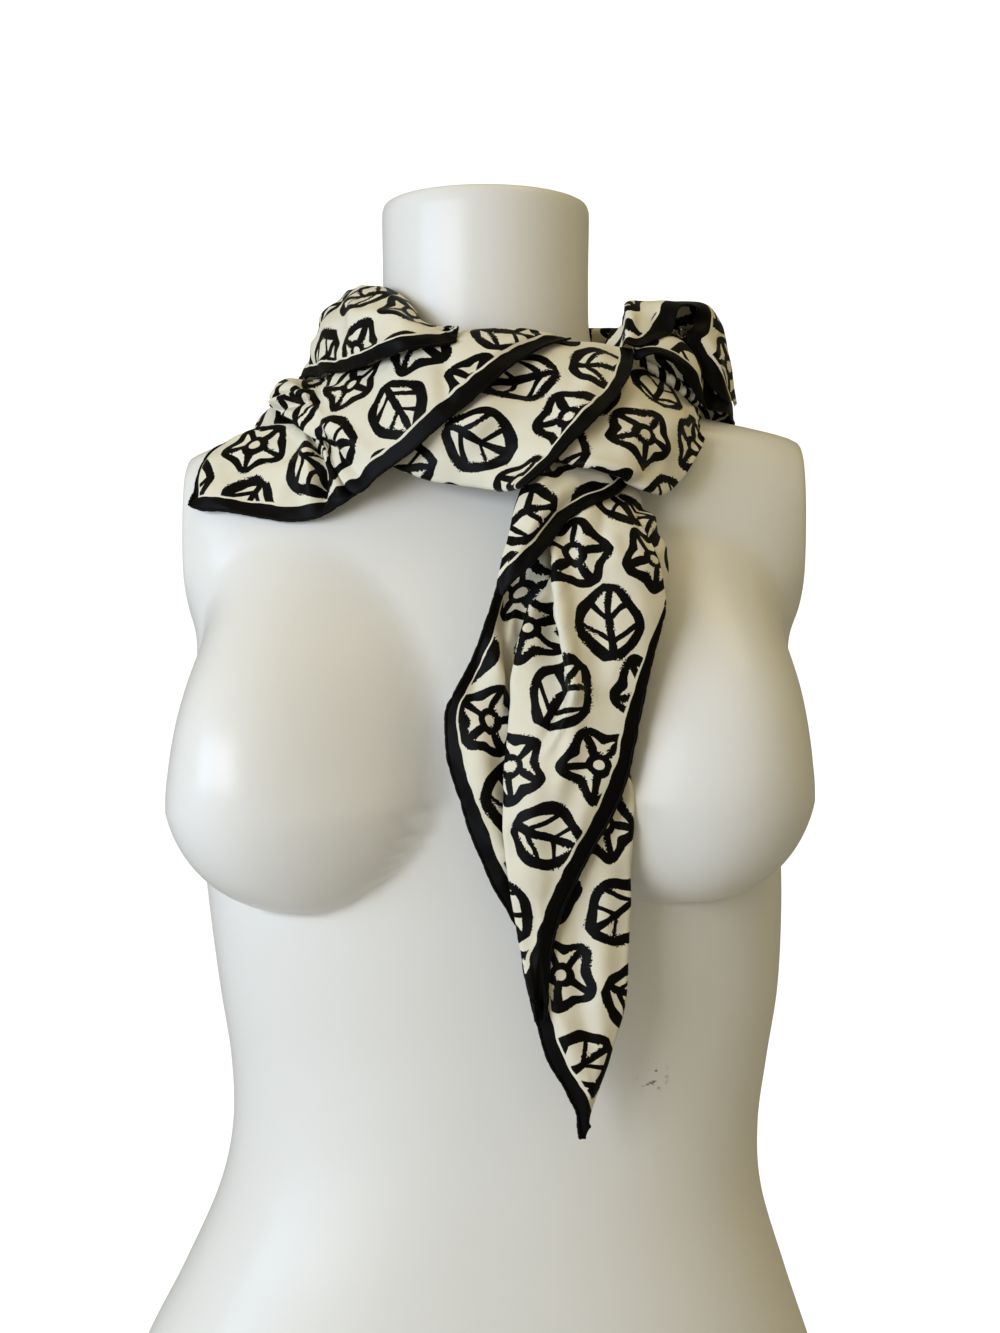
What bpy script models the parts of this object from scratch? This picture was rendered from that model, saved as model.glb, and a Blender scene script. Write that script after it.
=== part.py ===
"""A silk square scarf, folded on the bias and knotted at the side of a limbless dress form.

Metres, +Z up. The origin is the middle of the form's flat base and the form faces -Y.
Tables are in millimetres. Every stretch of the scarf that shows is one wall of cloth.
"""

import math

import bmesh
import bpy
from mathutils import Vector
from mathutils.bvhtree import BVHTree

MM = 0.001

# Cloth
WALL = 1.2  # thickness of the cloth wall
CLEAR = 0.6  # air between a stretch and what it lies on
FOLD_RADIUS = 2.4  # of a turned-back fold, at the middle of the wall
FOLD_ANGLES = (1.05, 2.1, math.pi)
FOLD_TAPER = 0.2  # share of a stretch over which a turned-back fold grows to its full size
FOLD_ROOM = 30.0  # width of a stretch that leaves room for a full fold
LAYINGS = 3
END_BOW_REACH = 0.5  # share of a stretch that a bowed end draws on
LIFT_PASSES = 6  # times the lift is spread over neighbouring points
REACH = 34.0  # farthest a point may lie below what it is lifted clear of

# The form's way out
BAR_REACH = 100.0
BAR_FULL = 600.0
BAR_TOP = 665.0
SHOULDER_START = 560.0

# Dress form
RING_POINTS = 52
RING_STEP = 40.0  # greatest height between two rings
BUST_RING_STEP = 12.0  # the same across the bust
BUST_SIDE = 112.0  # from the middle to the fullest point, measured round the form
BUST_ROUND = 0.6  # how much a point further back counts as further to the side
BUST_HEIGHT = 432.0
BUST_RIGHT_LIFT = 6.0  # the right one is a little higher
BUST_DEPTH = 60.0
BUST_INNER = 84.0
BUST_OUTER = 96.0
BUST_ABOVE = 122.0
BUST_BELOW = 80.0
BUST_WAY = (0.60, -0.76, -0.16)  # to the side, forward and down
ARM_PLATE_X = 174.6  # flat faces where arms would start
ARM_PLATE_MIDDLE = 1.3
ARM_PLATE_ABOVE = 492.0
ARM_PLATE_SOFT = 3.0
SHOULDER_HEIGHT = 608.0
SHOULDER_TILT = 0.027  # the left shoulder is a little lower
SHOULDER_TILT_REACH = 70.0

# height, middle_x, half_width, front, back, squareness
FORM_RINGS = (
    (0, -11, 205, 106, 124, 2.3),
    (30, -10, 207, 108, 129, 2.3),
    (62, -9, 203, 108, 129, 2.3),
    (101, -8, 189, 106, 121, 2.3),
    (141, -4.5, 172, 103, 108, 2.3),
    (187, -1, 155, 99, 94, 2.3),
    (224, 2, 150, 97, 88, 2.3),
    (262, 4, 153, 98, 88, 2.3),
    (302, 4, 159, 100, 92, 2.4),
    (349, 2, 163, 102, 98, 2.5),
    (400, -1, 165, 103, 104, 2.6),
    (450, -1, 166, 101, 108, 2.6),
    (480, 0, 168, 98, 108, 2.6),
    (500, 0.5, 169, 94, 108, 2.6),
    (516, 1, 174, 90, 106, 2.6),
    (540, 1, 183, 84, 102, 2.6),
    (572, 2, 188, 74, 92, 2.6),
    (590, 2, 187, 68, 81, 2.5),
    (600, 2, 181, 65, 72, 2.4),
    (608, 1, 170, 63, 67, 2.4),
    (615, 0, 148, 62, 65, 2.3),
    (621, -1, 125, 61, 63, 2.2),
    (630, -2, 103, 60, 62, 2.1),
    (642, -3, 81, 59, 62, 2.0),
    (656, -3.5, 66, 58, 62, 2.0),
    (672, -3.7, 60, 58, 62, 2.0),
    (700, -3.7, 59, 58, 62, 2.0),
    (738, -3.7, 59.5, 58.5, 62.5, 2.0),
    (744, -3.7, 59.2, 58.2, 62.2, 2.0),
    (746.8, -3.7, 58, 57, 61, 2.0),
    (747.6, -3.7, 56, 55, 59, 2.0),
)

# A stretch is a row of cross sections. Each section runs from its first edge to its second one
# and stands out from the straight line between them by its crown.
# first_x, first_y, first_z, second_x, second_y, second_z, crown
TAIL_UNDER = (
    (44, -88, 588, 62, -84, 588, 3),
    (38, -100, 550, 60, -100, 550, 4),
    (26, -112, 500, 60, -112, 500, 5),
    (18, -119, 456, 62, -120, 456, 6),
    (13, -123, 420, 70, -124, 420, 6),
    (12, -126, 388, 70, -127, 386, 6),
    (14, -128, 352, 70, -129, 350, 6),
    (20, -131, 314, 67, -132, 310, 5),
    (27, -132, 286, 61, -132, 284, 4),
    (38, -132, 266, 54, -132, 263, 2.5),
    (43, -132, 254, 50, -132, 252, 1),
    (45.5, -132, 242, 48, -132, 242, 0),
)
TAIL_ROLL = (
    (58, -84, 590, 74, -82, 590, 3),
    (60, -98, 568, 80, -98, 569, 6),
    (62, -107, 550, 89, -109, 549, 9),
    (65, -111, 531, 92, -114, 531, 8),
    (68, -114, 513, 84, -117, 513, 5),
    (70, -116, 498, 76, -118, 498, 1),
)
TAIL_LEFT = (
    (26, -100, 566, 46, -98, 566, 3),
    (12, -116, 544, 40, -102, 548, 4),
    (3, -126, 522, 35, -104, 526, 5),
    (-4, -129, 499, 28, -109, 502, 6),
    (-15, -131, 476, 24, -115, 479, 6),
    (-23, -132, 459, 20, -121, 457, 6),
    (-22, -132, 438, 16, -128, 435, 6),
    (-16, -132, 414, 15, -129, 411, 5),
    (-7, -133, 391, 15, -130, 389, 4),
    (2, -133, 371, 16, -131, 369, 2),
    (13, -133, 351, 17, -132, 350, 0.5),
)
TAIL_FRONT = (
    (46, -98, 588, 60, -92, 590, 3),
    (42, -110, 570, 68, -104, 572, 6),
    (34, -114, 551, 82, -114, 553, 11),
    (28, -116, 532, 88, -121, 533, 13),
    (21, -119, 512, 90, -125, 514, 13),
    (14, -127, 489, 82, -130, 491, 12),
    (11, -134, 461, 75, -134, 461, 10),
    (8, -138, 430, 69, -138, 428, 8),
    (8, -139, 398, 56, -140, 398, 7),
    (11, -138, 372, 43, -140, 373, 5),
    (14, -137, 347, 34, -139, 349, 3),
    (19.5, -136, 324, 29, -138, 325, 1.5),
    (22, -136, 303, 28.5, -137, 303, 0.5),
)
TAIL_FLAP = (
    (62, -96, 590, 78, -92, 586, 2),
    (50, -100, 592, 68, -108, 575, 3),
    (34, -104, 592, 50, -120, 566, 4),
    (22, -110, 585, 38, -127, 557, 5),
    (15, -117, 572, 28, -133, 544, 5),
    (10, -124, 557, 17, -135, 532, 4),
    (6, -129, 539, 10, -135, 526, 2),
    (3, -132, 521, 6, -134, 519, 0),
)
WRAP_RIGHT = (
    (30, -88, 586, 52, -64, 652, 11),
    (50, -94, 581, 66, -63, 652, 14),
    (73, -95, 577, 80, -60, 649, 15),
    (92, -90, 576, 94, -54, 641, 14),
    (103, -82, 586, 103, -48, 634, 10),
    (110, -74, 596, 109, -42, 631, 7),
    (115, -63, 606, 113, -34, 629, 4),
)
WRAP_FRONT = (
    (-54, -84, 592, -50, -56, 646, 9),
    (-36, -91, 584, -28, -62, 652, 13),
    (-16, -97, 580, 4, -66, 655, 15),
    (2, -102, 577, 40, -67, 659, 15),
    (17, -112, 574, 76, -66, 655, 14),
)
FOLD_LEFT = (
    (-137, -24, 607, -128, 2, 633, 1),
    (-122, -34, 607, -119, 3, 641, 2),
    (-106, -44, 607, -109, 1, 645, 2),
)
END_LEFT = (
    (-166, -52, 571, -165, -48, 577, 0),
    (-158, -55, 569, -162, -44, 580, 1),
    (-148, -59, 568, -158, -36, 589, 2),
    (-137, -63, 566, -151, -29, 598, 3),
    (-124, -67, 564, -142, -25, 604, 4),
    (-112, -71, 562, -130, -31, 610, 5),
    (-100, -75, 562, -116, -36, 613, 6),
    (-88, -80, 565, -103, -44, 611, 6),
    (-76, -84, 572, -92, -51, 607, 5),
    (-64, -87, 582, -80, -55, 606, 3),
)
BAND_LEFT = (
    (-124, -22, 631, -126, -14, 637, 1),
    (-118, -33, 624, -124, -8, 643, 6),
    (-106, -48, 613, -117, -5, 648, 11),
    (-92, -66, 600, -107, -8, 648, 14),
    (-81, -80, 585, -95, -17, 650, 15),
    (-72, -87, 575.5, -84, -30, 653, 15),
    (-58, -93, 585, -68, -44, 652, 14),
    (-41, -99, 597, -50, -60, 654, 13),
    (-24, -102, 612, -33, -70, 659, 11),
    (-7, -101, 626, -16, -72, 663, 9),
    (8, -96, 640, 3, -70, 665, 6),
    (26, -85, 653, 21, -68, 665, 3),
    (43, -71, 660, 39, -67, 662, 0),
)
WRAP_NECK = (
    (-18, -87, 657, -18, -80, 660, 0),
    (-33, -92, 654, -31, -64, 667.5, 5),
    (-49, -91, 650, -44, -52, 682, 8),
    (-70, -72, 647, -59, -38, 691, 9),
    (-91, -46, 646, -76, -18, 699, 7),
    (-108, -14, 649, -84, 4, 699, 5),
    (-113, 20, 644, -80, 30, 697, 6),
    (-103, 52, 632, -64, 52, 694, 9),
    (-76, 74, 614, -38, 66, 692, 10),
    (-38, 82, 600, -12, 71, 691, 9),
    (6, 84, 596, 14, 71, 691, 8),
    (52, 82, 600, 38, 64, 688, 9),
    (94, 70, 608, 60, 48, 685, 11),
    (124, 46, 616, 80, 30, 683, 12),
    (140, 16, 621, 98, 10, 682, 11),
    (139, -4, 625, 107, -6, 677, 9),
    (131, -24, 627, 108, -26, 671, 6),
    (121, -39, 626, 105, -43, 664, 3),
)
KNOT_BAND = (
    (76, -68, 648, 75, -58, 655, 2),
    (87, -71, 651, 86, -52, 662, 4),
    (98, -68, 648, 98, -46, 664, 6),
    (107, -61, 640, 107, -42, 658, 6),
    (112, -52, 630, 112, -38, 646, 4),
    (114, -45, 621, 115, -34, 634, 2),
)
KNOT_LOOP = (
    (62, -52, 659, 64, -34, 661, 11),
    (68, -61, 655, 70, -22, 663, 17),
    (75, -67, 654, 78, -14, 666, 22),
    (84, -68, 658, 88, -8, 669, 23),
    (93, -64, 665, 98, -6, 671, 19),
    (101, -57, 676, 108, -6, 671, 14),
    (108, -50, 682, 115, -8, 674, 9),
    (115, -48, 681, 122, -12, 676, 7),
    (114, -47, 672, 128, -16, 673, 6),
    (108, -50, 665, 131, -18, 665, 6),
    (113, -50, 653, 133, -18, 654, 6),
    (120, -48, 642, 137, -17, 643, 5),
    (129, -43, 630, 140, -18, 631, 3),
)

# Folds of a stretch: from (along, across) to (along, across) as shares of it, height above or
# below it and half width, both in millimetres.
# along_0, across_0, along_1, across_1, height, half_width
FRONT_FOLDS = (
    (0.10, 0.30, 0.95, 0.42, 3.0, 7.0),
    (0.10, 0.62, 0.80, 0.70, -2.5, 6.0),
)
NECK_FOLDS = (
    (0.24, 0.55, 0.95, 0.50, -4.0, 6.0),
    (0.32, 0.28, 0.93, 0.24, -3.5, 6.0),
    (0.10, 0.45, 0.34, 0.62, 3.0, 7.0),
)
BAND_FOLDS = (
    (0.05, 0.50, 0.50, 0.35, 3.0, 8.0),
    (0.28, 0.25, 0.34, 0.90, -2.5, 6.0),
)
END_FOLDS = ((0.60, 0.85, 0.90, 0.30, -3.0, 5.0),)
FRONT_TAIL_FOLDS = (
    (0.29, 0.04, 0.47, 0.33, -5.0, 5.0),
    (0.24, 0.12, 0.48, 0.46, 4.0, 5.0),
)
LEFT_TAIL_FOLDS = ((0.10, 0.70, 0.75, 0.55, -3.0, 6.0),)
LOOP_FOLDS = ((0.20, 0.10, 0.20, 0.60, 3.0, 5.0),)
NO_FOLDS = ()

# How far the middle of a stretch's end edge stands on past its corners
END_BOWS = {"wrap_front": 17.0}

# name, rows, steps from row to row, points across, turned back at first and second edge, folds, lies on
STRETCHES = (
    ("tail_under", TAIL_UNDER, 2, 6, 0, 8, NO_FOLDS, ("dress_form",)),
    ("tail_roll", TAIL_ROLL, 3, 6, 0, 6, NO_FOLDS, ("dress_form", "tail_under")),
    ("tail_left", TAIL_LEFT, 2, 6, 0, 0, LEFT_TAIL_FOLDS, ("dress_form", "tail_under")),
    ("tail_front", TAIL_FRONT, 2, 11, 4, 0, FRONT_TAIL_FOLDS, ("tail_under", "tail_roll", "tail_left")),
    ("tail_flap", TAIL_FLAP, 3, 6, 0, 0, NO_FOLDS, ("tail_left", "tail_front", "tail_roll")),
    ("wrap_right", WRAP_RIGHT, 3, 9, 6, 0, NO_FOLDS, ("dress_form", "tail_front", "tail_roll", "tail_flap")),
    ("wrap_front", WRAP_FRONT, 4, 10, 8, 0, FRONT_FOLDS, ("dress_form", "wrap_right", "tail_flap")),
    ("fold_left", FOLD_LEFT, 3, 5, 0, 0, NO_FOLDS, ("dress_form",)),
    ("end_left", END_LEFT, 2, 7, 0, 0, END_FOLDS, ("dress_form", "fold_left")),
    ("band_left", BAND_LEFT, 3, 10, 0, 0, BAND_FOLDS, ("dress_form", "fold_left", "end_left", "wrap_front")),
    ("knot_band", KNOT_BAND, 3, 6, 0, 0, NO_FOLDS, ("dress_form", "wrap_right", "wrap_front")),
    ("wrap_neck", WRAP_NECK, 2, 9, 0, 5, NECK_FOLDS, ("dress_form", "wrap_front", "band_left", "knot_band")),
    ("knot_loop", KNOT_LOOP, 3, 9, 0, 0, LOOP_FOLDS, ("wrap_front", "wrap_neck", "knot_band")),
)

CREAM = (0.80, 0.76, 0.62)
FORM_WHITE = (0.78, 0.76, 0.70)


def clear_scene():
    for thing in list(bpy.data.objects):
        bpy.data.objects.remove(thing)


def make_material(name, colour, roughness):
    material = bpy.data.materials.new(name)
    material.use_nodes = True
    shader = material.node_tree.nodes["Principled BSDF"]
    shader.inputs["Base Color"].default_value = (*colour, 1)
    shader.inputs["Roughness"].default_value = roughness
    return material


def smooth_row(rows, at):
    """The row at a place between rows, on a smooth curve through all of them."""
    last = len(rows) - 1
    i = min(int(at), last - 1)
    t = at - i
    before, here, there, after = (rows[min(max(i + k, 0), last)] for k in (-1, 0, 1, 2))
    out = []
    for p0, p1, p2, p3 in zip(before, here, there, after):
        slope_in, slope_out = (p2 - p0) / 2, (p3 - p1) / 2
        h = t * t * (3 - 2 * t)
        out.append(p1 + (p2 - p1) * h + slope_in * t * (1 - t) ** 2 - slope_out * t * t * (1 - t))
    return out


# Dress form


def form_levels():
    """The form's rings, with smooth ones added where the table's are far apart."""
    levels = []
    for i in range(len(FORM_RINGS) - 1):
        rise = FORM_RINGS[i + 1][0] - FORM_RINGS[i][0]
        middle = FORM_RINGS[i][0] + rise / 2
        across_bust = -BUST_BELOW - rise < middle - BUST_HEIGHT < BUST_ABOVE
        steps = math.ceil(rise / (BUST_RING_STEP if across_bust else RING_STEP))
        levels += [smooth_row(FORM_RINGS, i + k / steps) for k in range(steps)]
    return levels + [list(FORM_RINGS[-1])]


def bust_fullness(side, across, z):
    """A mound with a full, rounded underside that fades into the chest above, from 0 to 1."""
    across = (across - BUST_SIDE) / (BUST_OUTER if across > BUST_SIDE else BUST_INNER)
    up = z - BUST_HEIGHT - (BUST_RIGHT_LIFT if side > 0 else 0)
    up /= BUST_ABOVE if up > 0 else BUST_BELOW
    far = across * across + up * up
    return (1 - far) ** (0.62 + 0.9 * max(up + 0.25, 0)) if far < 1 else 0.0


def form_point(level, angle):
    height, middle, half_width, front, back, squareness = level
    c, s = math.cos(angle), math.sin(angle)
    x = middle + half_width * math.copysign(abs(c) ** (2 / squareness), c)
    y = (back if s > 0 else front) * math.copysign(abs(s) ** (2 / squareness), s)
    z = height
    if y < 0:
        full = BUST_DEPTH * bust_fullness(x, abs(x) + BUST_ROUND * (front + y), height)
        x += math.copysign(full * BUST_WAY[0], x)
        y += full * BUST_WAY[1]
        z += full * BUST_WAY[2]
    aside = x - ARM_PLATE_MIDDLE
    if height > ARM_PLATE_ABOVE and abs(aside) > ARM_PLATE_X - ARM_PLATE_SOFT:
        past = (abs(aside) - ARM_PLATE_X + ARM_PLATE_SOFT) / ARM_PLATE_SOFT
        soft = ARM_PLATE_X - ARM_PLATE_SOFT * math.exp(-past)
        x = ARM_PLATE_MIDDLE + math.copysign(soft, aside)
    tilt = SHOULDER_TILT * max(0.0, 1 - abs(height - SHOULDER_HEIGHT) / SHOULDER_TILT_REACH)
    return Vector((x, y, z + tilt * x)) * MM


def dress_form(collection, material):
    """One closed skin lofted through the rings, with a flat base and a flat neck top."""
    bm = bmesh.new()
    rings = []
    for level in form_levels():
        angles = [2 * math.pi * (k + 0.5) / RING_POINTS for k in range(RING_POINTS)]
        rings.append([bm.verts.new(form_point(level, angle)) for angle in angles])
    for lower, upper in zip(rings, rings[1:]):
        for k in range(RING_POINTS):
            j = (k + 1) % RING_POINTS
            bm.faces.new((lower[k], lower[j], upper[j], upper[k]))
    bm.faces.new(list(reversed(rings[0])))
    bm.faces.new(rings[-1])
    return finish_mesh("dress_form", bm, collection, material)


def finish_mesh(name, bm, collection, material):
    mesh = bpy.data.meshes.new(name)
    bm.to_mesh(mesh)
    bm.free()
    mesh.shade_smooth()
    thing = bpy.data.objects.new(name, mesh)
    thing.data.materials.append(material)
    collection.objects.link(thing)
    return thing


# Cloth


def outward(place):
    """The way out of the form at a point: away from a level bar inside it, and up at the shoulders."""
    reach = BAR_REACH * MM * min(max((BAR_TOP * MM - place.z) / (BAR_TOP - BAR_FULL) / MM, 0), 1)
    x = place.x - min(max(place.x, -reach), reach)
    up = max(0.0, place.z - SHOULDER_START * MM)
    return Vector((x, place.y, up)).normalized()


def section(row, along, count):
    """The points of one cross section, from its first edge to its second one."""
    first, second, crown = Vector(row[0:3]) * MM, Vector(row[3:6]) * MM, row[6] * MM
    chord = second - first
    side = along.cross(chord).normalized()
    if side.dot(outward((first + second) / 2)) < 0:
        side.negate()
    return [
        first + chord * v + side * crown * 4 * v * (1 - v)
        for v in (k / (count - 1) for k in range(count))
    ]


def turned_back(face, ways, length, share):
    """The points of a fold that turns the cloth under at the start of a row of points."""
    if not length:
        return []
    r = FOLD_RADIUS * MM * (0.35 + 0.65 * share)
    out = (face[0] - face[1]).normalized()
    middle = face[0] - ways[0] * r
    bend = [middle + ways[0] * r * math.cos(a) + out * r * math.sin(a) for a in FOLD_ANGLES]
    left, k = length * MM * (0.2 + 0.8 * share), 0
    while k < len(face) - 2 and (face[k + 1] - face[k]).length < left:
        left -= (face[k + 1] - face[k]).length
        k += 1
    end = face[k] + (face[k + 1] - face[k]).normalized() * left
    return bend + [end - ways[k] * 2 * r]


def fold_height(folds, u, v, long, wide):
    """How far the folds lift the cloth at a place on it, in millimetres."""
    total = 0.0
    for u0, v0, u1, v1, height, half_width in folds:
        ax, ay, bx, by = u0 * long, v0 * wide, u1 * long, v1 * wide
        px, py = u * long - ax, v * wide - ay
        dx, dy = bx - ax, by - ay
        t = min(max((px * dx + py * dy) / (dx * dx + dy * dy), 0), 1)
        far = math.hypot(px - t * dx, py - t * dy) / half_width
        total += height * math.exp(-far * far) * (0.35 + 0.65 * math.sin(math.pi * min(max(t, 0.05), 0.95)))
    return total


def cloth_face(rows, steps, count, folds, bow):
    """The stretch's face as a grid of points."""
    total = (len(rows) - 1) * steps
    samples = [smooth_row(rows, k / steps) for k in range(total + 1)]
    middles = [Vector([(r[i] + r[i + 3]) / 2 for i in range(3)]) for r in samples]
    long = sum((b - a).length for a, b in zip(middles, middles[1:]))
    wide = sum((Vector(r[3:6]) - Vector(r[0:3])).length for r in samples) / len(samples)
    grid = [
        section(row, middles[min(k + 1, total)] - middles[max(k - 1, 0)], count)
        for k, row in enumerate(samples)
    ]
    for k, points in enumerate(grid):
        ahead = (middles[min(k + 1, total)] - middles[max(k - 1, 0)]).normalized()
        near_end = max(0.0, 1 - (total - k) / total / END_BOW_REACH)
        for j in range(count):
            v = j / (count - 1)
            points[j] = points[j] + ahead * bow * 4 * v * (1 - v) * near_end ** 2 * MM
    ways = grid_normals(grid)
    for k, points in enumerate(grid):
        for j in range(count):
            lift = fold_height(folds, k / total, j / (count - 1), long, wide)
            points[j] = points[j] + ways[k][j] * lift * MM
    return grid


def turn_edges(grid, turns):
    """The grid with the cloth turned under along its edges, less and less towards its ends."""
    ways, last = grid_normals(grid), len(grid) - 1
    out = []
    for k, (points, sides) in enumerate(zip(grid, ways)):
        room = (points[0] - points[-1]).length / (FOLD_ROOM * MM)
        share = min(1.0, min(k, last - k) / last / FOLD_TAPER, room)
        start = turned_back(points, sides, turns[0], share)
        end = turned_back(points[::-1], sides[::-1], turns[1], share)
        out.append(start[::-1] + points + end)
    return out


def grid_normals(grid):
    """The way out of the cloth's face at each point of a grid."""
    rows, across = len(grid), len(grid[0])
    ways, facing = [], 0.0
    for i in range(rows):
        line = []
        for j in range(across):
            du = grid[min(i + 1, rows - 1)][j] - grid[max(i - 1, 0)][j]
            dv = grid[i][min(j + 1, across - 1)] - grid[i][max(j - 1, 0)]
            way = du.cross(dv).normalized()
            facing += way.dot(outward(grid[i][j]))
            line.append(way)
        ways.append(line)
    return [[way if facing > 0 else -way for way in line] for line in ways]


def lay_on(grid, turns, below):
    """Lifts the cloth clear of what it lies on, and spreads the lift so that it stays smooth."""
    count = len(grid[0])
    for _ in range(LAYINGS):
        lift = [[0.0] * count for _ in grid]
        for a in range(2 * len(grid) - 1):
            for b in range(2 * count - 1):
                near = [(i, j) for i in {a // 2, (a + 1) // 2} for j in {b // 2, (b + 1) // 2}]
                place = sum((grid[i][j] for i, j in near), Vector()) / len(near)
                rise = lift_needed(place, clearance(b / (2 * count - 2), turns), below)
                for i, j in near:
                    lift[i][j] = max(lift[i][j], rise)
        for _ in range(LIFT_PASSES):
            lift = spread(lift)
        grid = [[p + outward(p) * up for p, up in zip(points, ups)] for points, ups in zip(grid, lift)]
    return grid


def clearance(across, turns):
    """The air the middle of the wall needs below it, more where the cloth is turned under."""
    need = WALL / 2 + CLEAR
    if (turns[0] and across < 0.25) or (turns[1] and across > 0.75):
        need += 2 * FOLD_RADIUS
    return need * MM


def lift_needed(place, need, below):
    """How far out a point goes to stand clear of the things below it."""
    way, rise = outward(place), 0.0
    for tree in below:
        hit, normal, _, far = tree.ray_cast(place + way * REACH * MM, -way, REACH * MM + need)
        if hit is not None:
            slant = max(0.5, abs(normal.dot(way)))
            rise = max(rise, REACH * MM - far + need / slant)
        hit, _, _, far = tree.find_nearest(place + way * rise, need)
        if hit is not None:
            rise += need - far
    return rise


def spread(lift):
    """Each lift, or its neighbours' mean where that is greater."""
    rows, across = len(lift), len(lift[0])
    out = []
    for i in range(rows):
        line = []
        for j in range(across):
            near = [lift[min(max(i + a, 0), rows - 1)][min(max(j + b, 0), across - 1)]
                    for a, b in ((1, 0), (-1, 0), (0, 1), (0, -1))]
            line.append(max(lift[i][j], sum(near) / 4))
        out.append(line)
    return out


def cloth(name, grid, collection, material):
    """The grid as a wall of cloth."""
    bm = bmesh.new()
    verts = [[bm.verts.new(p) for p in points] for points in grid]
    for a, b in zip(verts, verts[1:]):
        for j in range(len(a) - 1):
            bm.faces.new((a[j], a[j + 1], b[j + 1], b[j]))
    bmesh.ops.recalc_face_normals(bm, faces=bm.faces)
    thing = finish_mesh(name, bm, collection, material)
    wall = thing.modifiers.new("wall", "SOLIDIFY")
    wall.thickness = WALL * MM
    wall.offset = 0
    return thing


def solid_tree(thing):
    """A search tree of an object as it is shown."""
    return BVHTree.FromObject(thing, bpy.context.evaluated_depsgraph_get())


def main():
    clear_scene()
    parts = bpy.data.collections.new("silk square scarf on a dress form")
    bpy.context.scene.collection.children.link(parts)
    silk = make_material("silk", CREAM, 0.5)
    form = make_material("form", FORM_WHITE, 0.45)
    trees = {"dress_form": solid_tree(dress_form(parts, form))}
    for name, rows, steps, count, turn_first, turn_second, folds, below in STRETCHES:
        turns = (turn_first, turn_second)
        face = cloth_face(rows, steps, count, folds, END_BOWS.get(name, 0.0))
        grid = lay_on(face, turns, [trees[under] for under in below])
        grid = turn_edges(grid, turns)
        thing = cloth(name, grid, parts, silk)
        bpy.context.view_layer.update()
        trees[name] = solid_tree(thing)


main()
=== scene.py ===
"""A silk square scarf, folded on the bias and tied at the side of a limbless dress form.

Metres, +Z up. The tables are in millimetres, and repeat those of the CAD source. Creases are
placed as the camera sees them, in the picture's 1000 x 1333 pixels, and each is worked out on the
cloth's own surface.
"""

import math

import bpy
import numpy as np
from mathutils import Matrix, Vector, noise
from mathutils.bvhtree import BVHTree


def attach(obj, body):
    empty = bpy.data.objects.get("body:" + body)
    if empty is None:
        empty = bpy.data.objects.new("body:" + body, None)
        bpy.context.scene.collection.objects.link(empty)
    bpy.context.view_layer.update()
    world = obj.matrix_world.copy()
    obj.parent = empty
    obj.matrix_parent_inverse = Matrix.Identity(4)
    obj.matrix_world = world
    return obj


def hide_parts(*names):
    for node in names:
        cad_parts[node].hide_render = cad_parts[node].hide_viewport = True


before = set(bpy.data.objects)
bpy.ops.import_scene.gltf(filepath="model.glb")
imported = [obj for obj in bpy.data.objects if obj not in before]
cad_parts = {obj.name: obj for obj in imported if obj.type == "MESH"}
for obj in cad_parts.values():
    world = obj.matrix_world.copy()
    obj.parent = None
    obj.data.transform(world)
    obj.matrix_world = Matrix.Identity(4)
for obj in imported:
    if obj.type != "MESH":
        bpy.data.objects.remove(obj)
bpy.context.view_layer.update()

MM = 0.001
TINY = 1e-12

# Camera
CAMERA_PLACE = (4.6, -1135.0, 483.0)
CAMERA_PIXELS = 1970.0  # focal length in the picture's pixels
PICTURE = (1000, 1333)
SENSOR = 36.0

# Cloth, as in the CAD source
WALL = 1.2
CLEAR = 0.6  # air kept between two walls
FOLD_RADIUS = 2.4  # of an edge that is turned under
FOLD_TAPER = 0.2  # share of the edge's length over which its radius grows to that
FOLD_ROOM = 30.0  # cloth narrower than this has a smaller radius
EDGE_QUARTER = 0.25  # share of the width that a turned-under edge lies below
FOLD_END = 0.35  # share of such an edge's radius, and of a fold's height, that is left at its ends
FOLD_CLIP = 0.05  # share of a fold's length at each end where its height is steady
LAYINGS = 3  # times that a stretch is laid on what is below it
END_BOW_REACH = 0.5  # share of the length over which a bowed end is let out
LIFT_PASSES = 6  # times that a lift is spread to the points beside it
REACH = 34.0  # how far out of the cloth the things below it are looked for
LEAST_SLANT = 0.5  # steeper cloth below isn't given more room than this slant asks
BAR_REACH = 100.0  # half length of a level bar inside the form, which gives the way out of it
BAR_FULL = 600.0  # it is shorter above this height
BAR_TOP = 665.0  # and a point above this one
SHOULDER_START = 560.0  # from here the way out turns upward

# Cloth, as it shows
SILK = 0.35  # thickness of the cloth
SPACING = 1.7  # between the points of the cloth's surface
FINE_CLEAR = 0.45  # air kept between two layers
FINE_PASSES = 10
BEND_ANGLES = (0.52, 1.05, 1.57, 2.1, 2.62, math.pi)  # round a folded edge
TURN_STEPS = 4
TURN_END = 0.2  # how much of its width is turned under at an edge's ends
HEM_RADIUS = 0.95
HEM_SIDES = 8
HEM_SWELL = 0.22  # how much thicker and thinner it gets
HEM_PACE, HEM_SEED = 0.21, 3.3  # how fast, from one ring of points to the next
HEM_STITCH = 5  # every fifth ring is drawn in by a stitch
HEM_TIP, HEM_TIP_RINGS = 0.35, 4  # its radius at its tips, and how many rings it takes to grow
ROLL_RADIUS = 3.0
ROLL_RISE = 2.2  # how far it stands out of the edge
ROLL_TURN = 0.11  # of a whole turn, from one ring of the rolled edge to the next
ROLL_STRIPE = 1.1  # how far its stripes pass to each side of the border's edge
HEM_WAVE = 0.5  # waviness along the hems
HEM_WAVE_WAY = (1.4, 0.2)  # how fast it changes along and across the cloth
HEM_WAVE_SEED = 50
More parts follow.
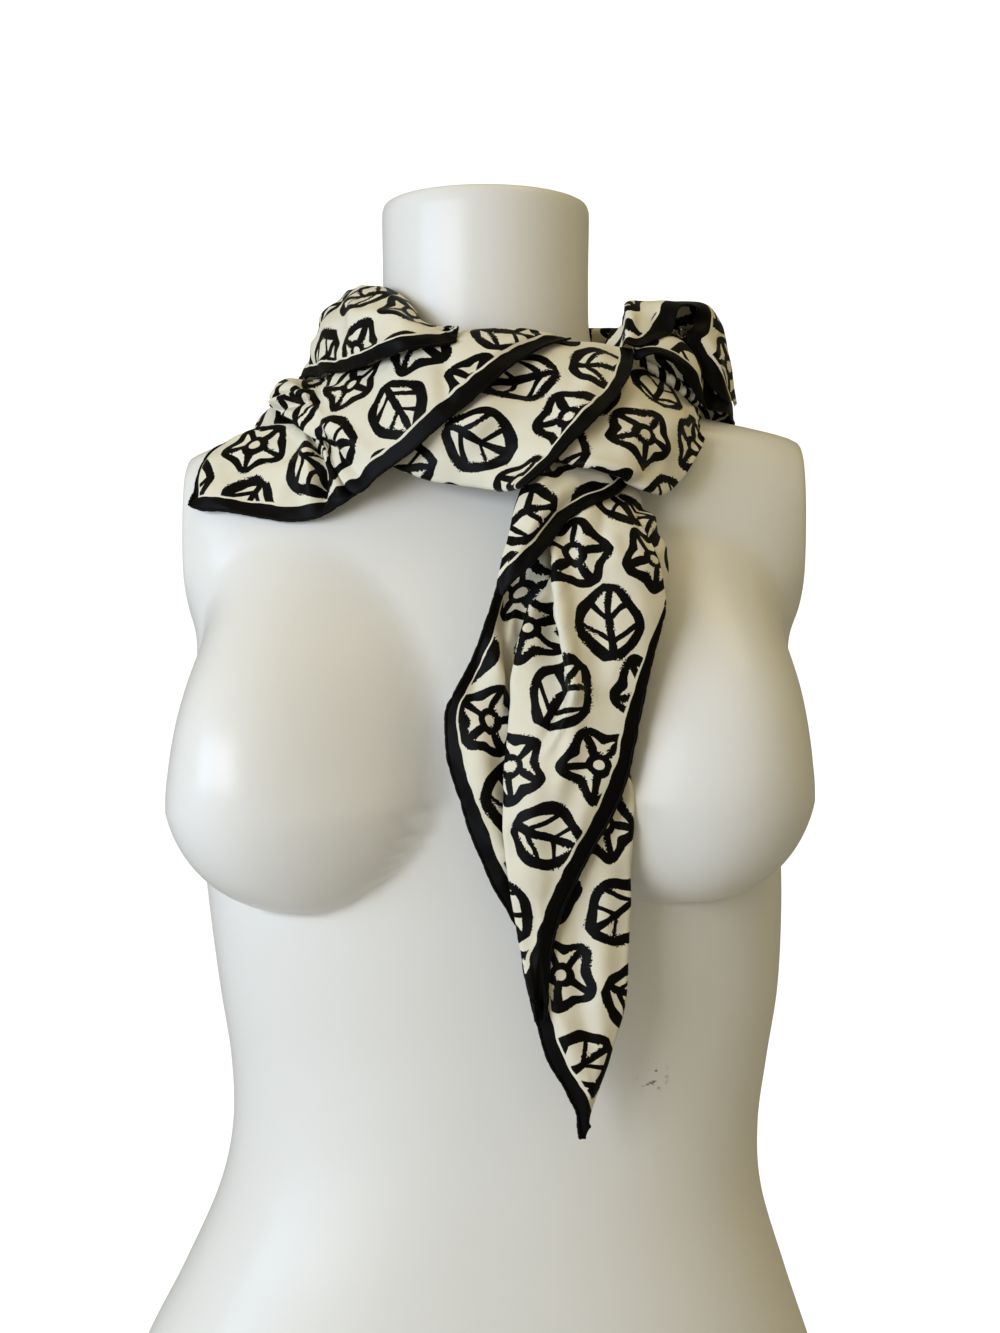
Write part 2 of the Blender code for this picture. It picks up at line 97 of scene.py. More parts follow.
CRUMPLE = ((36.0, 1.8), (15.0, 0.75), (6.5, 0.25))  # wavelength and height of the fine unevenness
RIDGES = ((46.0, 2.8), (21.0, 1.3))  # the same of long, sharper creases
RIDGE_STRETCH = 2.2  # how much longer than wide they are
RIDGE_LEVEL = 0.35  # keeps the cloth's mean height where it is
RIDGE_ROUND = 0.0009  # how blunt their crests are
RIDGE_SEED = 1.7
CREASE_GAIN = 1.9  # for the heights in CREASES
CREASE_STEPS = 24
EDGE_FADE = 9.0  # width over which an edge's waviness dies out
BORDER = 9.0  # usual width of the black border
NO_EDGE = 99.0  # distance from an edge where there is none
FRONT_ONLY = 5.0  # creases placed on the picture stay in front of this depth
FRONT_FADE = 15.0  # and reach their full height this much nearer
PRINT_STEP = 37 + 53j  # how far along and across the print the next stretch starts
PRINT_TURN = 20  # degrees from one stretch's print to the next

# Dress form
RING_POINTS = 200
RING_SPACING = 3.0
BUST_SIDE = 112.0  # from the middle to the fullest point, measured round the form
BUST_ROUND = 0.6  # how much a point further back counts as further to the side
BUST_HEIGHT = 432.0
BUST_RIGHT_LIFT = 6.0  # the right one is a little higher
BUST_DEPTH = 60.0
BUST_INNER = 84.0
BUST_OUTER = 96.0
BUST_ABOVE = 122.0
BUST_BELOW = 80.0
BUST_FULL = 0.62  # the lower, the fuller and steeper the mound's rim is
BUST_FADE, BUST_FADE_FROM = 0.9, -0.25  # how much it softens on the way up, and from where
BUST_WAY = (0.60, -0.76, -0.16)  # to the side, forward and down
ARM_PLATE_X = 174.6
ARM_PLATE_MIDDLE = 1.3
ARM_PLATE_ABOVE = 492.0
ARM_PLATE_SOFT = 3.0
SHOULDER_HEIGHT = 608.0
SHOULDER_TILT = 0.027
SHOULDER_TILT_REACH = 70.0

# height, middle_x, half_width, front, back, squareness
FORM_RINGS = (
    (0, -11, 205, 106, 124, 2.3),
    (30, -10, 207, 108, 129, 2.3),
    (62, -9, 203, 108, 129, 2.3),
    (101, -8, 189, 106, 121, 2.3),
    (141, -4.5, 172, 103, 108, 2.3),
    (187, -1, 155, 99, 94, 2.3),
    (224, 2, 150, 97, 88, 2.3),
    (262, 4, 153, 98, 88, 2.3),
    (302, 4, 159, 100, 92, 2.4),
    (349, 2, 163, 102, 98, 2.5),
    (400, -1, 165, 103, 104, 2.6),
    (450, -1, 166, 101, 108, 2.6),
    (480, 0, 168, 98, 108, 2.6),
    (500, 0.5, 169, 94, 108, 2.6),
    (516, 1, 174, 90, 106, 2.6),
    (540, 1, 183, 84, 102, 2.6),
    (572, 2, 188, 74, 92, 2.6),
    (590, 2, 187, 68, 81, 2.5),
    (600, 2, 181, 65, 72, 2.4),
    (608, 1, 170, 63, 67, 2.4),
    (615, 0, 148, 62, 65, 2.3),
    (621, -1, 125, 61, 63, 2.2),
    (630, -2, 103, 60, 62, 2.1),
    (642, -3, 81, 59, 62, 2.0),
    (656, -3.5, 66, 58, 62, 2.0),
    (672, -3.7, 60, 58, 62, 2.0),
    (700, -3.7, 59, 58, 62, 2.0),
    (738, -3.7, 59.5, 58.5, 62.5, 2.0),
    (744, -3.7, 59.2, 58.2, 62.2, 2.0),
    (746.8, -3.7, 58, 57, 61, 2.0),
    (747.6, -3.7, 56, 55, 59, 2.0),
)

# first_x, first_y, first_z, second_x, second_y, second_z, crown
TAIL_UNDER = (
    (44, -88, 588, 62, -84, 588, 3),
    (38, -100, 550, 60, -100, 550, 4),
    (26, -112, 500, 60, -112, 500, 5),
    (18, -119, 456, 62, -120, 456, 6),
    (13, -123, 420, 70, -124, 420, 6),
    (12, -126, 388, 70, -127, 386, 6),
    (14, -128, 352, 70, -129, 350, 6),
    (20, -131, 314, 67, -132, 310, 5),
    (27, -132, 286, 61, -132, 284, 4),
    (38, -132, 266, 54, -132, 263, 2.5),
    (43, -132, 254, 50, -132, 252, 1),
    (45.5, -132, 242, 48, -132, 242, 0),
)
TAIL_ROLL = (
    (58, -84, 590, 74, -82, 590, 3),
    (60, -98, 568, 80, -98, 569, 6),
    (62, -107, 550, 89, -109, 549, 9),
    (65, -111, 531, 92, -114, 531, 8),
    (68, -114, 513, 84, -117, 513, 5),
    (70, -116, 498, 76, -118, 498, 1),
)
TAIL_LEFT = (
    (26, -100, 566, 46, -98, 566, 3),
    (12, -116, 544, 40, -102, 548, 4),
    (3, -126, 522, 35, -104, 526, 5),
    (-4, -129, 499, 28, -109, 502, 6),
    (-15, -131, 476, 24, -115, 479, 6),
    (-23, -132, 459, 20, -121, 457, 6),
    (-22, -132, 438, 16, -128, 435, 6),
    (-16, -132, 414, 15, -129, 411, 5),
    (-7, -133, 391, 15, -130, 389, 4),
    (2, -133, 371, 16, -131, 369, 2),
    (13, -133, 351, 17, -132, 350, 0.5),
)
TAIL_FRONT = (
    (46, -98, 588, 60, -92, 590, 3),
    (42, -110, 570, 68, -104, 572, 6),
    (34, -114, 551, 82, -114, 553, 11),
    (28, -116, 532, 88, -121, 533, 13),
    (21, -119, 512, 90, -125, 514, 13),
    (14, -127, 489, 82, -130, 491, 12),
    (11, -134, 461, 75, -134, 461, 10),
    (8, -138, 430, 69, -138, 428, 8),
    (8, -139, 398, 56, -140, 398, 7),
    (11, -138, 372, 43, -140, 373, 5),
    (14, -137, 347, 34, -139, 349, 3),
    (19.5, -136, 324, 29, -138, 325, 1.5),
    (22, -136, 303, 28.5, -137, 303, 0.5),
)
TAIL_FLAP = (
    (62, -96, 590, 78, -92, 586, 2),
    (50, -100, 592, 68, -108, 575, 3),
    (34, -104, 592, 50, -120, 566, 4),
    (22, -110, 585, 38, -127, 557, 5),
    (15, -117, 572, 28, -133, 544, 5),
    (10, -124, 557, 17, -135, 532, 4),
    (6, -129, 539, 10, -135, 526, 2),
    (3, -132, 521, 6, -134, 519, 0),
)
WRAP_RIGHT = (
    (30, -88, 586, 52, -64, 652, 11),
    (50, -94, 581, 66, -63, 652, 14),
    (73, -95, 577, 80, -60, 649, 15),
    (92, -90, 576, 94, -54, 641, 14),
    (103, -82, 586, 103, -48, 634, 10),
    (110, -74, 596, 109, -42, 631, 7),
    (115, -63, 606, 113, -34, 629, 4),
)
WRAP_FRONT = (
    (-54, -84, 592, -50, -56, 646, 9),
    (-36, -91, 584, -28, -62, 652, 13),
    (-16, -97, 580, 4, -66, 655, 15),
    (2, -102, 577, 40, -67, 659, 15),
    (17, -112, 574, 76, -66, 655, 14),
)
FOLD_LEFT = (
    (-137, -24, 607, -128, 2, 633, 1),
    (-122, -34, 607, -119, 3, 641, 2),
    (-106, -44, 607, -109, 1, 645, 2),
)
END_LEFT = (
    (-166, -52, 571, -165, -48, 577, 0),
    (-158, -55, 569, -162, -44, 580, 1),
    (-148, -59, 568, -158, -36, 589, 2),
    (-137, -63, 566, -151, -29, 598, 3),
    (-124, -67, 564, -142, -25, 604, 4),
    (-112, -71, 562, -130, -31, 610, 5),
    (-100, -75, 562, -116, -36, 613, 6),
    (-88, -80, 565, -103, -44, 611, 6),
    (-76, -84, 572, -92, -51, 607, 5),
    (-64, -87, 582, -80, -55, 606, 3),
)
BAND_LEFT = (
    (-124, -22, 631, -126, -14, 637, 1),
    (-118, -33, 624, -124, -8, 643, 6),
    (-106, -48, 613, -117, -5, 648, 11),
    (-92, -66, 600, -107, -8, 648, 14),
    (-81, -80, 585, -95, -17, 650, 15),
    (-72, -87, 575.5, -84, -30, 653, 15),
    (-58, -93, 585, -68, -44, 652, 14),
    (-41, -99, 597, -50, -60, 654, 13),
    (-24, -102, 612, -33, -70, 659, 11),
    (-7, -101, 626, -16, -72, 663, 9),
    (8, -96, 640, 3, -70, 665, 6),
    (26, -85, 653, 21, -68, 665, 3),
    (43, -71, 660, 39, -67, 662, 0),
)
WRAP_NECK = (
    (-18, -87, 657, -18, -80, 660, 0),
    (-33, -92, 654, -31, -64, 667.5, 5),
    (-49, -91, 650, -44, -52, 682, 8),
    (-70, -72, 647, -59, -38, 691, 9),
    (-91, -46, 646, -76, -18, 699, 7),
    (-108, -14, 649, -84, 4, 699, 5),
    (-113, 20, 644, -80, 30, 697, 6),
    (-103, 52, 632, -64, 52, 694, 9),
    (-76, 74, 614, -38, 66, 692, 10),
    (-38, 82, 600, -12, 71, 691, 9),
    (6, 84, 596, 14, 71, 691, 8),
    (52, 82, 600, 38, 64, 688, 9),
    (94, 70, 608, 60, 48, 685, 11),
    (124, 46, 616, 80, 30, 683, 12),
    (140, 16, 621, 98, 10, 682, 11),
    (139, -4, 625, 107, -6, 677, 9),
    (131, -24, 627, 108, -26, 671, 6),
    (121, -39, 626, 105, -43, 664, 3),
)
KNOT_BAND = (
    (76, -68, 648, 75, -58, 655, 2),
    (87, -71, 651, 86, -52, 662, 4),
    (98, -68, 648, 98, -46, 664, 6),
    (107, -61, 640, 107, -42, 658, 6),
    (112, -52, 630, 112, -38, 646, 4),
    (114, -45, 621, 115, -34, 634, 2),
)
KNOT_LOOP = (
    (62, -52, 659, 64, -34, 661, 11),
    (68, -61, 655, 70, -22, 663, 17),
    (75, -67, 654, 78, -14, 666, 22),
    (84, -68, 658, 88, -8, 669, 23),
    (93, -64, 665, 98, -6, 671, 19),
    (101, -57, 676, 108, -6, 671, 14),
    (108, -50, 682, 115, -8, 674, 9),
    (115, -48, 681, 122, -12, 676, 7),
    (114, -47, 672, 128, -16, 673, 6),
    (108, -50, 665, 131, -18, 665, 6),
    (113, -50, 653, 133, -18, 654, 6),
    (120, -48, 642, 137, -17, 643, 5),
    (129, -43, 630, 140, -18, 631, 3),
)

# The larger folds of a stretch. stretch: ((along_0, across_0, along_1, across_1, height, half_width), ...)
FOLDS = {
    "wrap_front": ((0.10, 0.30, 0.95, 0.42, 3.0, 7.0), (0.10, 0.62, 0.80, 0.70, -2.5, 6.0)),
    "wrap_neck": (
        (0.24, 0.55, 0.95, 0.50, -4.0, 6.0),
        (0.32, 0.28, 0.93, 0.24, -3.5, 6.0),
        (0.10, 0.45, 0.34, 0.62, 3.0, 7.0),
    ),
    "band_left": ((0.05, 0.50, 0.50, 0.35, 3.0, 8.0), (0.28, 0.25, 0.34, 0.90, -2.5, 6.0)),
    "end_left": ((0.60, 0.85, 0.90, 0.30, -3.0, 5.0),),
    "tail_front": ((0.29, 0.04, 0.47, 0.33, -5.0, 5.0), (0.24, 0.12, 0.48, 0.46, 4.0, 5.0)),
    "tail_left": ((0.10, 0.70, 0.75, 0.55, -3.0, 6.0),),
    "knot_loop": ((0.20, 0.10, 0.20, 0.60, 3.0, 5.0),),
}

# How far the middle of a stretch's end edge stands on past its corners
END_BOWS = {"wrap_front": 17.0}

# name, rows, steps from row to row, points across, turned back at first and second edge, lies on
STRETCHES = (
    ("tail_under", TAIL_UNDER, 2, 6, 0, 8, ("dress_form",)),
    ("tail_roll", TAIL_ROLL, 3, 6, 0, 6, ("dress_form", "tail_under")),
    ("tail_left", TAIL_LEFT, 2, 6, 0, 0, ("dress_form", "tail_under")),
    ("tail_front", TAIL_FRONT, 2, 11, 4, 0, ("tail_under", "tail_roll", "tail_left")),
    ("tail_flap", TAIL_FLAP, 3, 6, 0, 0, ("tail_left", "tail_front", "tail_roll")),
    ("wrap_right", WRAP_RIGHT, 3, 9, 6, 0, ("dress_form", "tail_front", "tail_roll", "tail_flap")),
    ("wrap_front", WRAP_FRONT, 4, 10, 8, 0, ("dress_form", "wrap_right", "tail_flap")),
    ("fold_left", FOLD_LEFT, 3, 5, 0, 0, ("dress_form",)),
    ("end_left", END_LEFT, 2, 7, 0, 0, ("dress_form", "fold_left")),
    ("band_left", BAND_LEFT, 3, 10, 0, 0, ("dress_form", "fold_left", "end_left", "wrap_front")),
    ("knot_band", KNOT_BAND, 3, 6, 0, 0, ("dress_form", "wrap_right", "wrap_front")),
    ("wrap_neck", WRAP_NECK, 2, 9, 0, 5, ("dress_form", "wrap_front", "band_left", "knot_band")),
    ("knot_loop", KNOT_LOOP, 3, 9, 0, 0, ("wrap_front", "wrap_neck", "knot_band")),
)

# Where the square's own edges show, and one band of painted shade: on fold_left the black border
# stands in for the shade that strip lies in. An edge runs along a stretch's first or second side, or
# across its start or end, from one share of it to another, and its border has a width at each end.
# stretch: ((side, from, to, width, width), ...)
FREE_EDGES_AND_PAINTED_SHADE = {
    "wrap_neck": (
        ("first", 0, 0.16, 7.5, 6),
        ("first", 0.16, 1, 6, 9),
        ("end", 0, 1, 9, 8),
    ),
    "band_left": (("first", 0.415, 0.75, 7.8, 9), ("first", 0.75, 1, 9, 6)),
    "end_left": (
        ("first", 0, 1, 6.5, 9),
        ("start", 0, 1, 5, 4),
        ("second", 0, 0.42, 3.6, 2.6),
    ),
    "wrap_front": (("end", 0, 1, 6.6, 6.2),),
    "wrap_right": (("end", 0, 0.55, 3, 2),),
    "tail_flap": (("second", 0, 1, 5.5, 7),),
    "tail_left": (
        ("second", 0.05, 0.30, 6.5, 3),
        ("first", 0, 0.45, 4.5, 4.5),
        ("first", 0.45, 0.7, 4.5, 9),
        ("first", 0.7, 1, 9, 7),
    ),
    "tail_front": (("second", 0.34, 0.52, 1.5, 8), ("second", 0.52, 1, 8, 11)),
    # painted shade: a wide black band across fold_left's end, where that strip lies in shade
    "fold_left": (("end", 0, 1, 14, 10),),
    "tail_under": (("first", 0, 1, 9, 9),),
    "knot_loop": (
        ("first", 0.13, 0.33, 3, 7),
        ("first", 0.33, 0.55, 8, 12),
        ("first", 0.55, 0.67, 12, 8),
        ("first", 0.67, 1, 7, 7),
    ),
    "knot_band": (("first", 0, 1, 5, 6),),
}

# An edge rolled up into a thicker, twisted cord of cloth
# stretch: (side, from, to)
ROLLED = {"wrap_right": ("second", 0.16, 1)}

# Creases, as the camera sees them: a bent line through three points, its height above or below
# the cloth and half width in millimetres, how sharp it is, how far it leans to one side, and its
# strength at its start and its end.
# x0, y0, x1, y1, x2, y2, height, half_width, power, lean, start, end
CREASES = {
    "wrap_neck": (
        (354, 300, 350, 322, 354, 352, 2, 4.5, 1.6, 0.3, 0.1, 0.1),
        (370, 287, 392, 296, 416, 316, 1.7, 7.5, 2, 0, 0.3, 0.3),
        (338, 282, 350, 282, 362, 286, -1.7, 5, 2, 0, 0.6, 0.4),
        (343, 286, 340, 312, 334, 334, -1.5, 5, 2, 0, 0.4, 0.1),
        (318, 342, 324, 360, 340, 376, -1.6, 4.5, 1.8, 0, 0.2, 0.6),
        (386, 296, 414, 318, 450, 326, -1.2, 5, 2, 0, 0.1, 0.5),
        (366, 352, 392, 342, 430, 336, 1.5, 4, 1.8, 0, 0.7, 0.2),
        (303, 352, 306, 366, 312, 380, -2, 4, 1.8, 0, 0.3, 0.9),
    ),
    "band_left": (
        (336, 381, 302, 384, 276, 394, -3.2, 2.3, 1.5, 0, 0.3, 0.9),
        (330, 388, 302, 391, 276, 401, 2.3, 2.4, 1.7, 0, 0.2, 0.8),
        (318, 397, 298, 401, 280, 411, -2.7, 2.4, 1.5, 0, 0.2, 0.8),
        (308, 428, 293, 414, 279, 400, 1.4, 3.2, 1.8, 0, 0.4, 0.5),
        (446, 350, 441, 376, 447, 410, -1.8, 5.5, 2, 0, 0.5, 0.1),
        (362, 372, 396, 352, 446, 344, 1.6, 6, 2, 0.2, 0.1, 0.5),
        (318, 440, 344, 455, 366, 484, -2, 4, 1.7, 0.3, 0.9, 0.2),
        (330, 424, 352, 440, 380, 462, 1.5, 5, 2, 0, 0.6, 0.1),
        (382, 356, 372, 388, 380, 430, -0.9, 7, 2, 0, 0.1, 0.2),
        (500, 356, 476, 364, 452, 384, -1.3, 4.5, 2, 0, 0.3, 0.2),
    ),
    "end_left": (
        (314, 438, 326, 468, 323, 503, -4.6, 2.6, 1.5, 0.4, 1, 0.5),
        (319, 440, 336, 464, 340, 494, 3.6, 2.4, 1.6, 0, 0.9, 0.4),
        (326, 442, 346, 464, 352, 490, -3.6, 2.6, 1.6, 0, 0.9, 0.4),
        (309, 440, 314, 470, 308, 506, 2.6, 4, 1.7, 0.3, 0.7, 0.2),
        (300, 441, 270, 452, 236, 462, -1.1, 5.5, 2, 0, 0.5, 0.1),
        (306, 446, 288, 480, 266, 508, 1.3, 5.5, 2, 0, 0.4, 0.1),
        (296, 448, 262, 474, 224, 486, -1, 6.5, 2, 0, 0.4, 0.1),
        (222, 452, 214, 474, 206, 496, 1, 5, 2, 0, 0.2, 0.2),
    ),
    "wrap_front": (
        (506, 370, 524, 392, 566, 398, -1.8, 5.5, 1.9, 0.3, 0.6, 0.1),
        (498, 402, 474, 424, 460, 458, 1.3, 6.5, 2, 0, 0.1, 0.1),
        (604, 346, 590, 394, 560, 446, 1.7, 6, 2, 0, 0.1, 0.3),
        (556, 404, 546, 424, 540, 462, -1.2, 6.5, 2, 0, 0.1, 0.2),
        (444, 448, 480, 462, 532, 462, -1.1, 5, 2, 0, 0.3, 0.1),
        (520, 346, 560, 350, 600, 344, 0.9, 5, 2, 0, 0.2, 0.4),
    ),
    "wrap_right": (
        (628, 368, 656, 394, 700, 414, -2.2, 3.4, 1.8, 0, 0.4, 0.2),
        (562, 470, 600, 473, 640, 484, -2.4, 2.8, 1.6, 0, 0.5, 0.9),
        (570, 461, 606, 465, 642, 475, 1.7, 3, 1.8, 0, 0.2, 0.7),
        (664, 458, 648, 470, 634, 484, -1.8, 3, 1.7, 0, 0.1, 0.9),
        (640, 396, 636, 428, 622, 462, 1.3, 7, 2, 0, 0.1, 0.1),
        (692, 412, 690, 440, 668, 470, -1, 5.5, 2, 0, 0.2, 0.4),
        (606, 420, 596, 440, 580, 458, -1.4, 5, 2, 0, 0.2, 0.5),
    ),
    "knot_band": (
        (634, 352, 662, 350, 692, 372, 1.5, 3, 1.8, 0, 0.2, 0.4),
        (642, 362, 668, 362, 688, 384, -1.6, 2.8, 1.8, 0, 0.3, 0.6),
    ),
    "knot_loop": (
        (632, 312, 633, 328, 629, 348, 1.9, 3.2, 1.5, 0.4, 0.1, 0.7),
        (618, 344, 616, 326, 621, 304, -1.7, 3.8, 2, 0, 0.4, 0.9),
        (650, 338, 670, 322, 702, 320, -3.4, 4.6, 1.7, 0, 0.5, 0.7),
        (648, 348, 668, 340, 690, 344, 1.8, 3, 1.8, 0, 0.3, 0.3),
        (690, 334, 702, 362, 716, 404, -2.6, 3.8, 1.7, 0, 0.6, 0.6),
        (704, 336, 718, 362, 728, 408, 2, 3.6, 1.8, 0.2, 0.2, 0.6),
        (640, 312, 668, 307, 700, 308, 1.2, 4, 2, 0, 0.2, 0.2),
    ),
    "tail_flap": (
        (552, 478, 530, 496, 514, 532, 2.2, 4.5, 1.7, 0.3, 0.5, 0.2),
        (600, 484, 562, 500, 522, 558, -1.8, 3.4, 1.7, 0, 0.8, 0.2),
        (576, 482, 540, 506, 507, 572, 1.6, 3.6, 1.8, 0, 0.5, 0.2),
        (536, 484, 524, 504, 508, 540, -1.4, 3.4, 1.8, 0, 0.4, 0.2),
    ),
    "tail_front": (
        (558, 540, 559, 602, 576, 692, 5.6, 4.4, 1.6, 0.5, 0.7, 0.5),
        (546, 546, 545, 600, 562, 684, -5.6, 5, 1.8, 0, 0.9, 0.3),
        (577, 690, 573, 740, 556, 806, 1.4, 4.6, 1.9, 0, 0.8, 0.1),
        (576, 688, 567, 722, 546, 754, 2.3, 2.6, 1.6, 0.5, 1, 0.2),
        (565, 692, 556, 722, 538, 748, -2.6, 2.8, 1.6, 0, 1, 0.2),
        (606, 500, 598, 530, 600, 566, -1.5, 4.6, 1.9, 0, 0.8, 0.1),
        (628, 506, 634, 540, 660, 588, 1.3, 5.4, 2, 0, 0.6, 0.1),
        (586, 512, 580, 546, 584, 590, 1.2, 4.6, 2, 0, 0.6, 0.1),
        (652, 604, 644, 668, 628, 752, 1.3, 6, 2, 0, 0.2, 0.1),
        (604, 604, 594, 660, 602, 716, -1.3, 7, 2, 0, 0.1, 0.1),
        (590, 742, 574, 800, 548, 862, -1.1, 6.5, 2, 0, 0.2, 0.1),
        (536, 760, 528, 826, 540, 900, 1.1, 6.5, 2, 0, 0.1, 0.1),
    ),
    "tail_left": (
        (497, 628, 494, 664, 503, 706, 2.8, 4.2, 1.7, 0.3, 0.2, 0.4),
        (512, 620, 508, 660, 514, 712, -2.8, 4, 1.7, 0, 0.3, 0.6),
        (482, 640, 474, 676, 470, 716, -1.6, 4.6, 1.9, 0, 0.1, 0.2),
        (478, 716, 478, 760, 492, 836, 1.4, 6, 2, 0, 0.1, 0.2),
        (502, 728, 504, 788, 516, 862, -1.5, 4.6, 1.9, 0, 0.4, 0.2),
        (522, 572, 513, 606, 504, 640, -5.4, 7, 2, 0, 0.7, 0.2),
        (545, 560, 541, 600, 537, 642, 2.2, 3.2, 1.7, 0, 0.4, 0.2),
        (531, 578, 526, 618, 523, 660, -2.2, 3.2, 1.8, 0, 0.3, 0.3),
    ),
    "tail_roll": (
        (624, 514, 642, 507, 658, 500, -1.4, 3.2, 1.7, 0, 0.5, 0.2),
        (628, 528, 648, 520, 664, 514, 1, 3.6, 1.8, 0, 0.3, 0.2),
        (630, 546, 650, 536, 668, 528, -1.3, 3.2, 1.7, 0, 0.5, 0.2),
        (640, 562, 656, 554, 670, 546, 0.9, 3.6, 1.8, 0, 0.3, 0.2),
    ),
    "tail_under": (
        (612, 850, 600, 940, 602, 1058, 1.5, 7, 2, 0, 0.1, 0.1),
        (572, 900, 576, 980, 594, 1066, -1.4, 6, 2, 0, 0.1, 0.2),
        (556, 1010, 570, 1056, 588, 1106, 1.1, 4.6, 2, 0, 0.1, 0.3),
        (622, 786, 616, 830, 606, 868, -1, 5, 2, 0, 0.2, 0.1),
    ),
    "fold_left": (
        (262, 430, 272, 414, 282, 404, 1.4, 4, 1.8, 0, 0.3, 0.5),
        (284, 428, 290, 416, 294, 402, -1.6, 3.4, 1.8, 0, 0.4, 0.5),
    ),
}

# Creases of what the camera can't see, by their shares along and across the stretch.
# along_0, across_0, along_1, across_1, along_2, across_2, height, half_width, power, lean, start, end
HIDDEN_CREASES = {
    "wrap_neck": (
        (0.30, 0.20, 0.52, 0.42, 0.80, 0.30, -2.6, 5.5, 1.8, 0.2, 0.1, 0.2),
        (0.34, 0.66, 0.58, 0.54, 0.88, 0.64, 2.2, 6, 1.9, 0, 0.2, 0.1),
        (0.45, 0.84, 0.62, 0.74, 0.78, 0.88, -2, 5, 1.8, 0, 0.1, 0.2),
        (0.40, 0.06, 0.50, 0.20, 0.60, 0.44, 1.6, 5, 1.9, 0, 0.4, 0.1),
        (0.66, 0.08, 0.71, 0.28, 0.72, 0.56, -1.7, 4.5, 1.8, 0, 0.5, 0.1),
        (0.80, 0.18, 0.88, 0.40, 0.97, 0.44, 1.8, 5, 1.9, 0, 0.1, 0.5),
        (0.84, 0.74, 0.91, 0.66, 0.98, 0.70, -1.8, 4.5, 1.8, 0, 0.1, 0.6),
        (0.24, 0.72, 0.31, 0.50, 0.36, 0.18, -1.5, 5, 1.9, 0, 0.2, 0.2),
    ),
    "knot_loop": (
        (0.30, 0.95, 0.40, 0.70, 0.57, 0.62, -2.2, 4.5, 1.8, 0, 0.5, 0.1),
        (0.13, 0.88, 0.27, 0.76, 0.41, 0.86, 1.6, 4.5, 1.9, 0, 0.2, 0.2),
        (0.36, 1.00, 0.48, 0.98, 0.62, 1.00, -6, 7, 1.8, 0, 0.4, 0.4),
        (0.92, 0.90, 0.97, 0.95, 1.00, 1.00, -2.5, 5, 2, 0, 0.5, 0.8),
    ),
    "end_left": (
        (0.10, 0.80, 0.30, 0.88, 0.55, 0.78, 1.1, 5.5, 2, 0, 0.2, 0.1),
    ),
    "wrap_right": (
        (0.72, 0.40, 0.84, 0.52, 0.98, 0.46, -1.5, 4.5, 1.9, 0, 0.1, 0.4),
    ),
}


# Shared


def catmull(values, factor, axis):
    """Values sampled factor times as finely along an axis, on a smooth curve through them all."""
    rows = np.moveaxis(np.asarray(values, float), axis, 0)
    last = len(rows) - 1
    at = np.arange(last * factor + 1) / factor
    i = np.minimum(at.astype(int), last - 1)
    t = (at - i).reshape(-1, *[1] * (rows.ndim - 1))
    p0, p1, p2, p3 = (rows[np.clip(i + k, 0, last)] for k in (-1, 0, 1, 2))
    h = t * t * (3 - 2 * t)
    out = p1 + (p2 - p1) * h + (p2 - p0) / 2 * t * (1 - t) ** 2 - (p3 - p1) / 2 * t * t * (1 - t)
    return np.moveaxis(out, 0, axis)


def unit(vectors):
    return vectors / np.maximum(np.linalg.norm(vectors, axis=-1, keepdims=True), TINY)


def quads(rows, count, closed=False):
    """The faces of a grid of points, whose rows are rings where it is closed."""
    faces = []
    for i in range(rows - 1):
        a, b = i * count, (i + 1) * count
        for j in range(count if closed else count - 1):
            k = (j + 1) % count
            faces.append((a + j, a + k, b + k, b + j))
    return faces


def tube(rings, count):
    """The faces of a row of rings of points, with both ends closed."""
    last = (rings - 1) * count
    ends = [tuple(reversed(range(count))), tuple(range(last, last + count))]
    return quads(rings, count, closed=True) + ends


def make_object(name, points, faces, sharp=()):
    """A smooth mesh from an array of points and a list of faces."""
    mesh = bpy.data.meshes.new(name)
    mesh.from_pydata([tuple(p) for p in points], [], faces)
    mesh.shade_smooth()
    if len(sharp):
        keys = {frozenset(pair) for pair in sharp}
        flags = [frozenset(edge.vertices) in keys for edge in mesh.edges]
        mesh.attributes.new("sharp_edge", "BOOLEAN", "EDGE").data.foreach_set("value", flags)
    thing = bpy.data.objects.new(name, mesh)
    bpy.context.scene.collection.objects.link(thing)
    return thing


def tree_of(thing):
    mesh = thing.data
    return BVHTree.FromPolygons([v.co for v in mesh.vertices], [p.vertices for p in mesh.polygons])


# Dress form


def bust_fullness(side, across, z):
    """A mound with a full, rounded underside that fades into the chest above, from 0 to 1."""
    across = (across - BUST_SIDE) / (BUST_OUTER if across > BUST_SIDE else BUST_INNER)
    up = z - BUST_HEIGHT - (BUST_RIGHT_LIFT if side > 0 else 0)
    up /= BUST_ABOVE if up > 0 else BUST_BELOW
    far = across * across + up * up
    power = BUST_FULL + BUST_FADE * max(up - BUST_FADE_FROM, 0)
    return (1 - far) ** power if far < 1 else 0.0


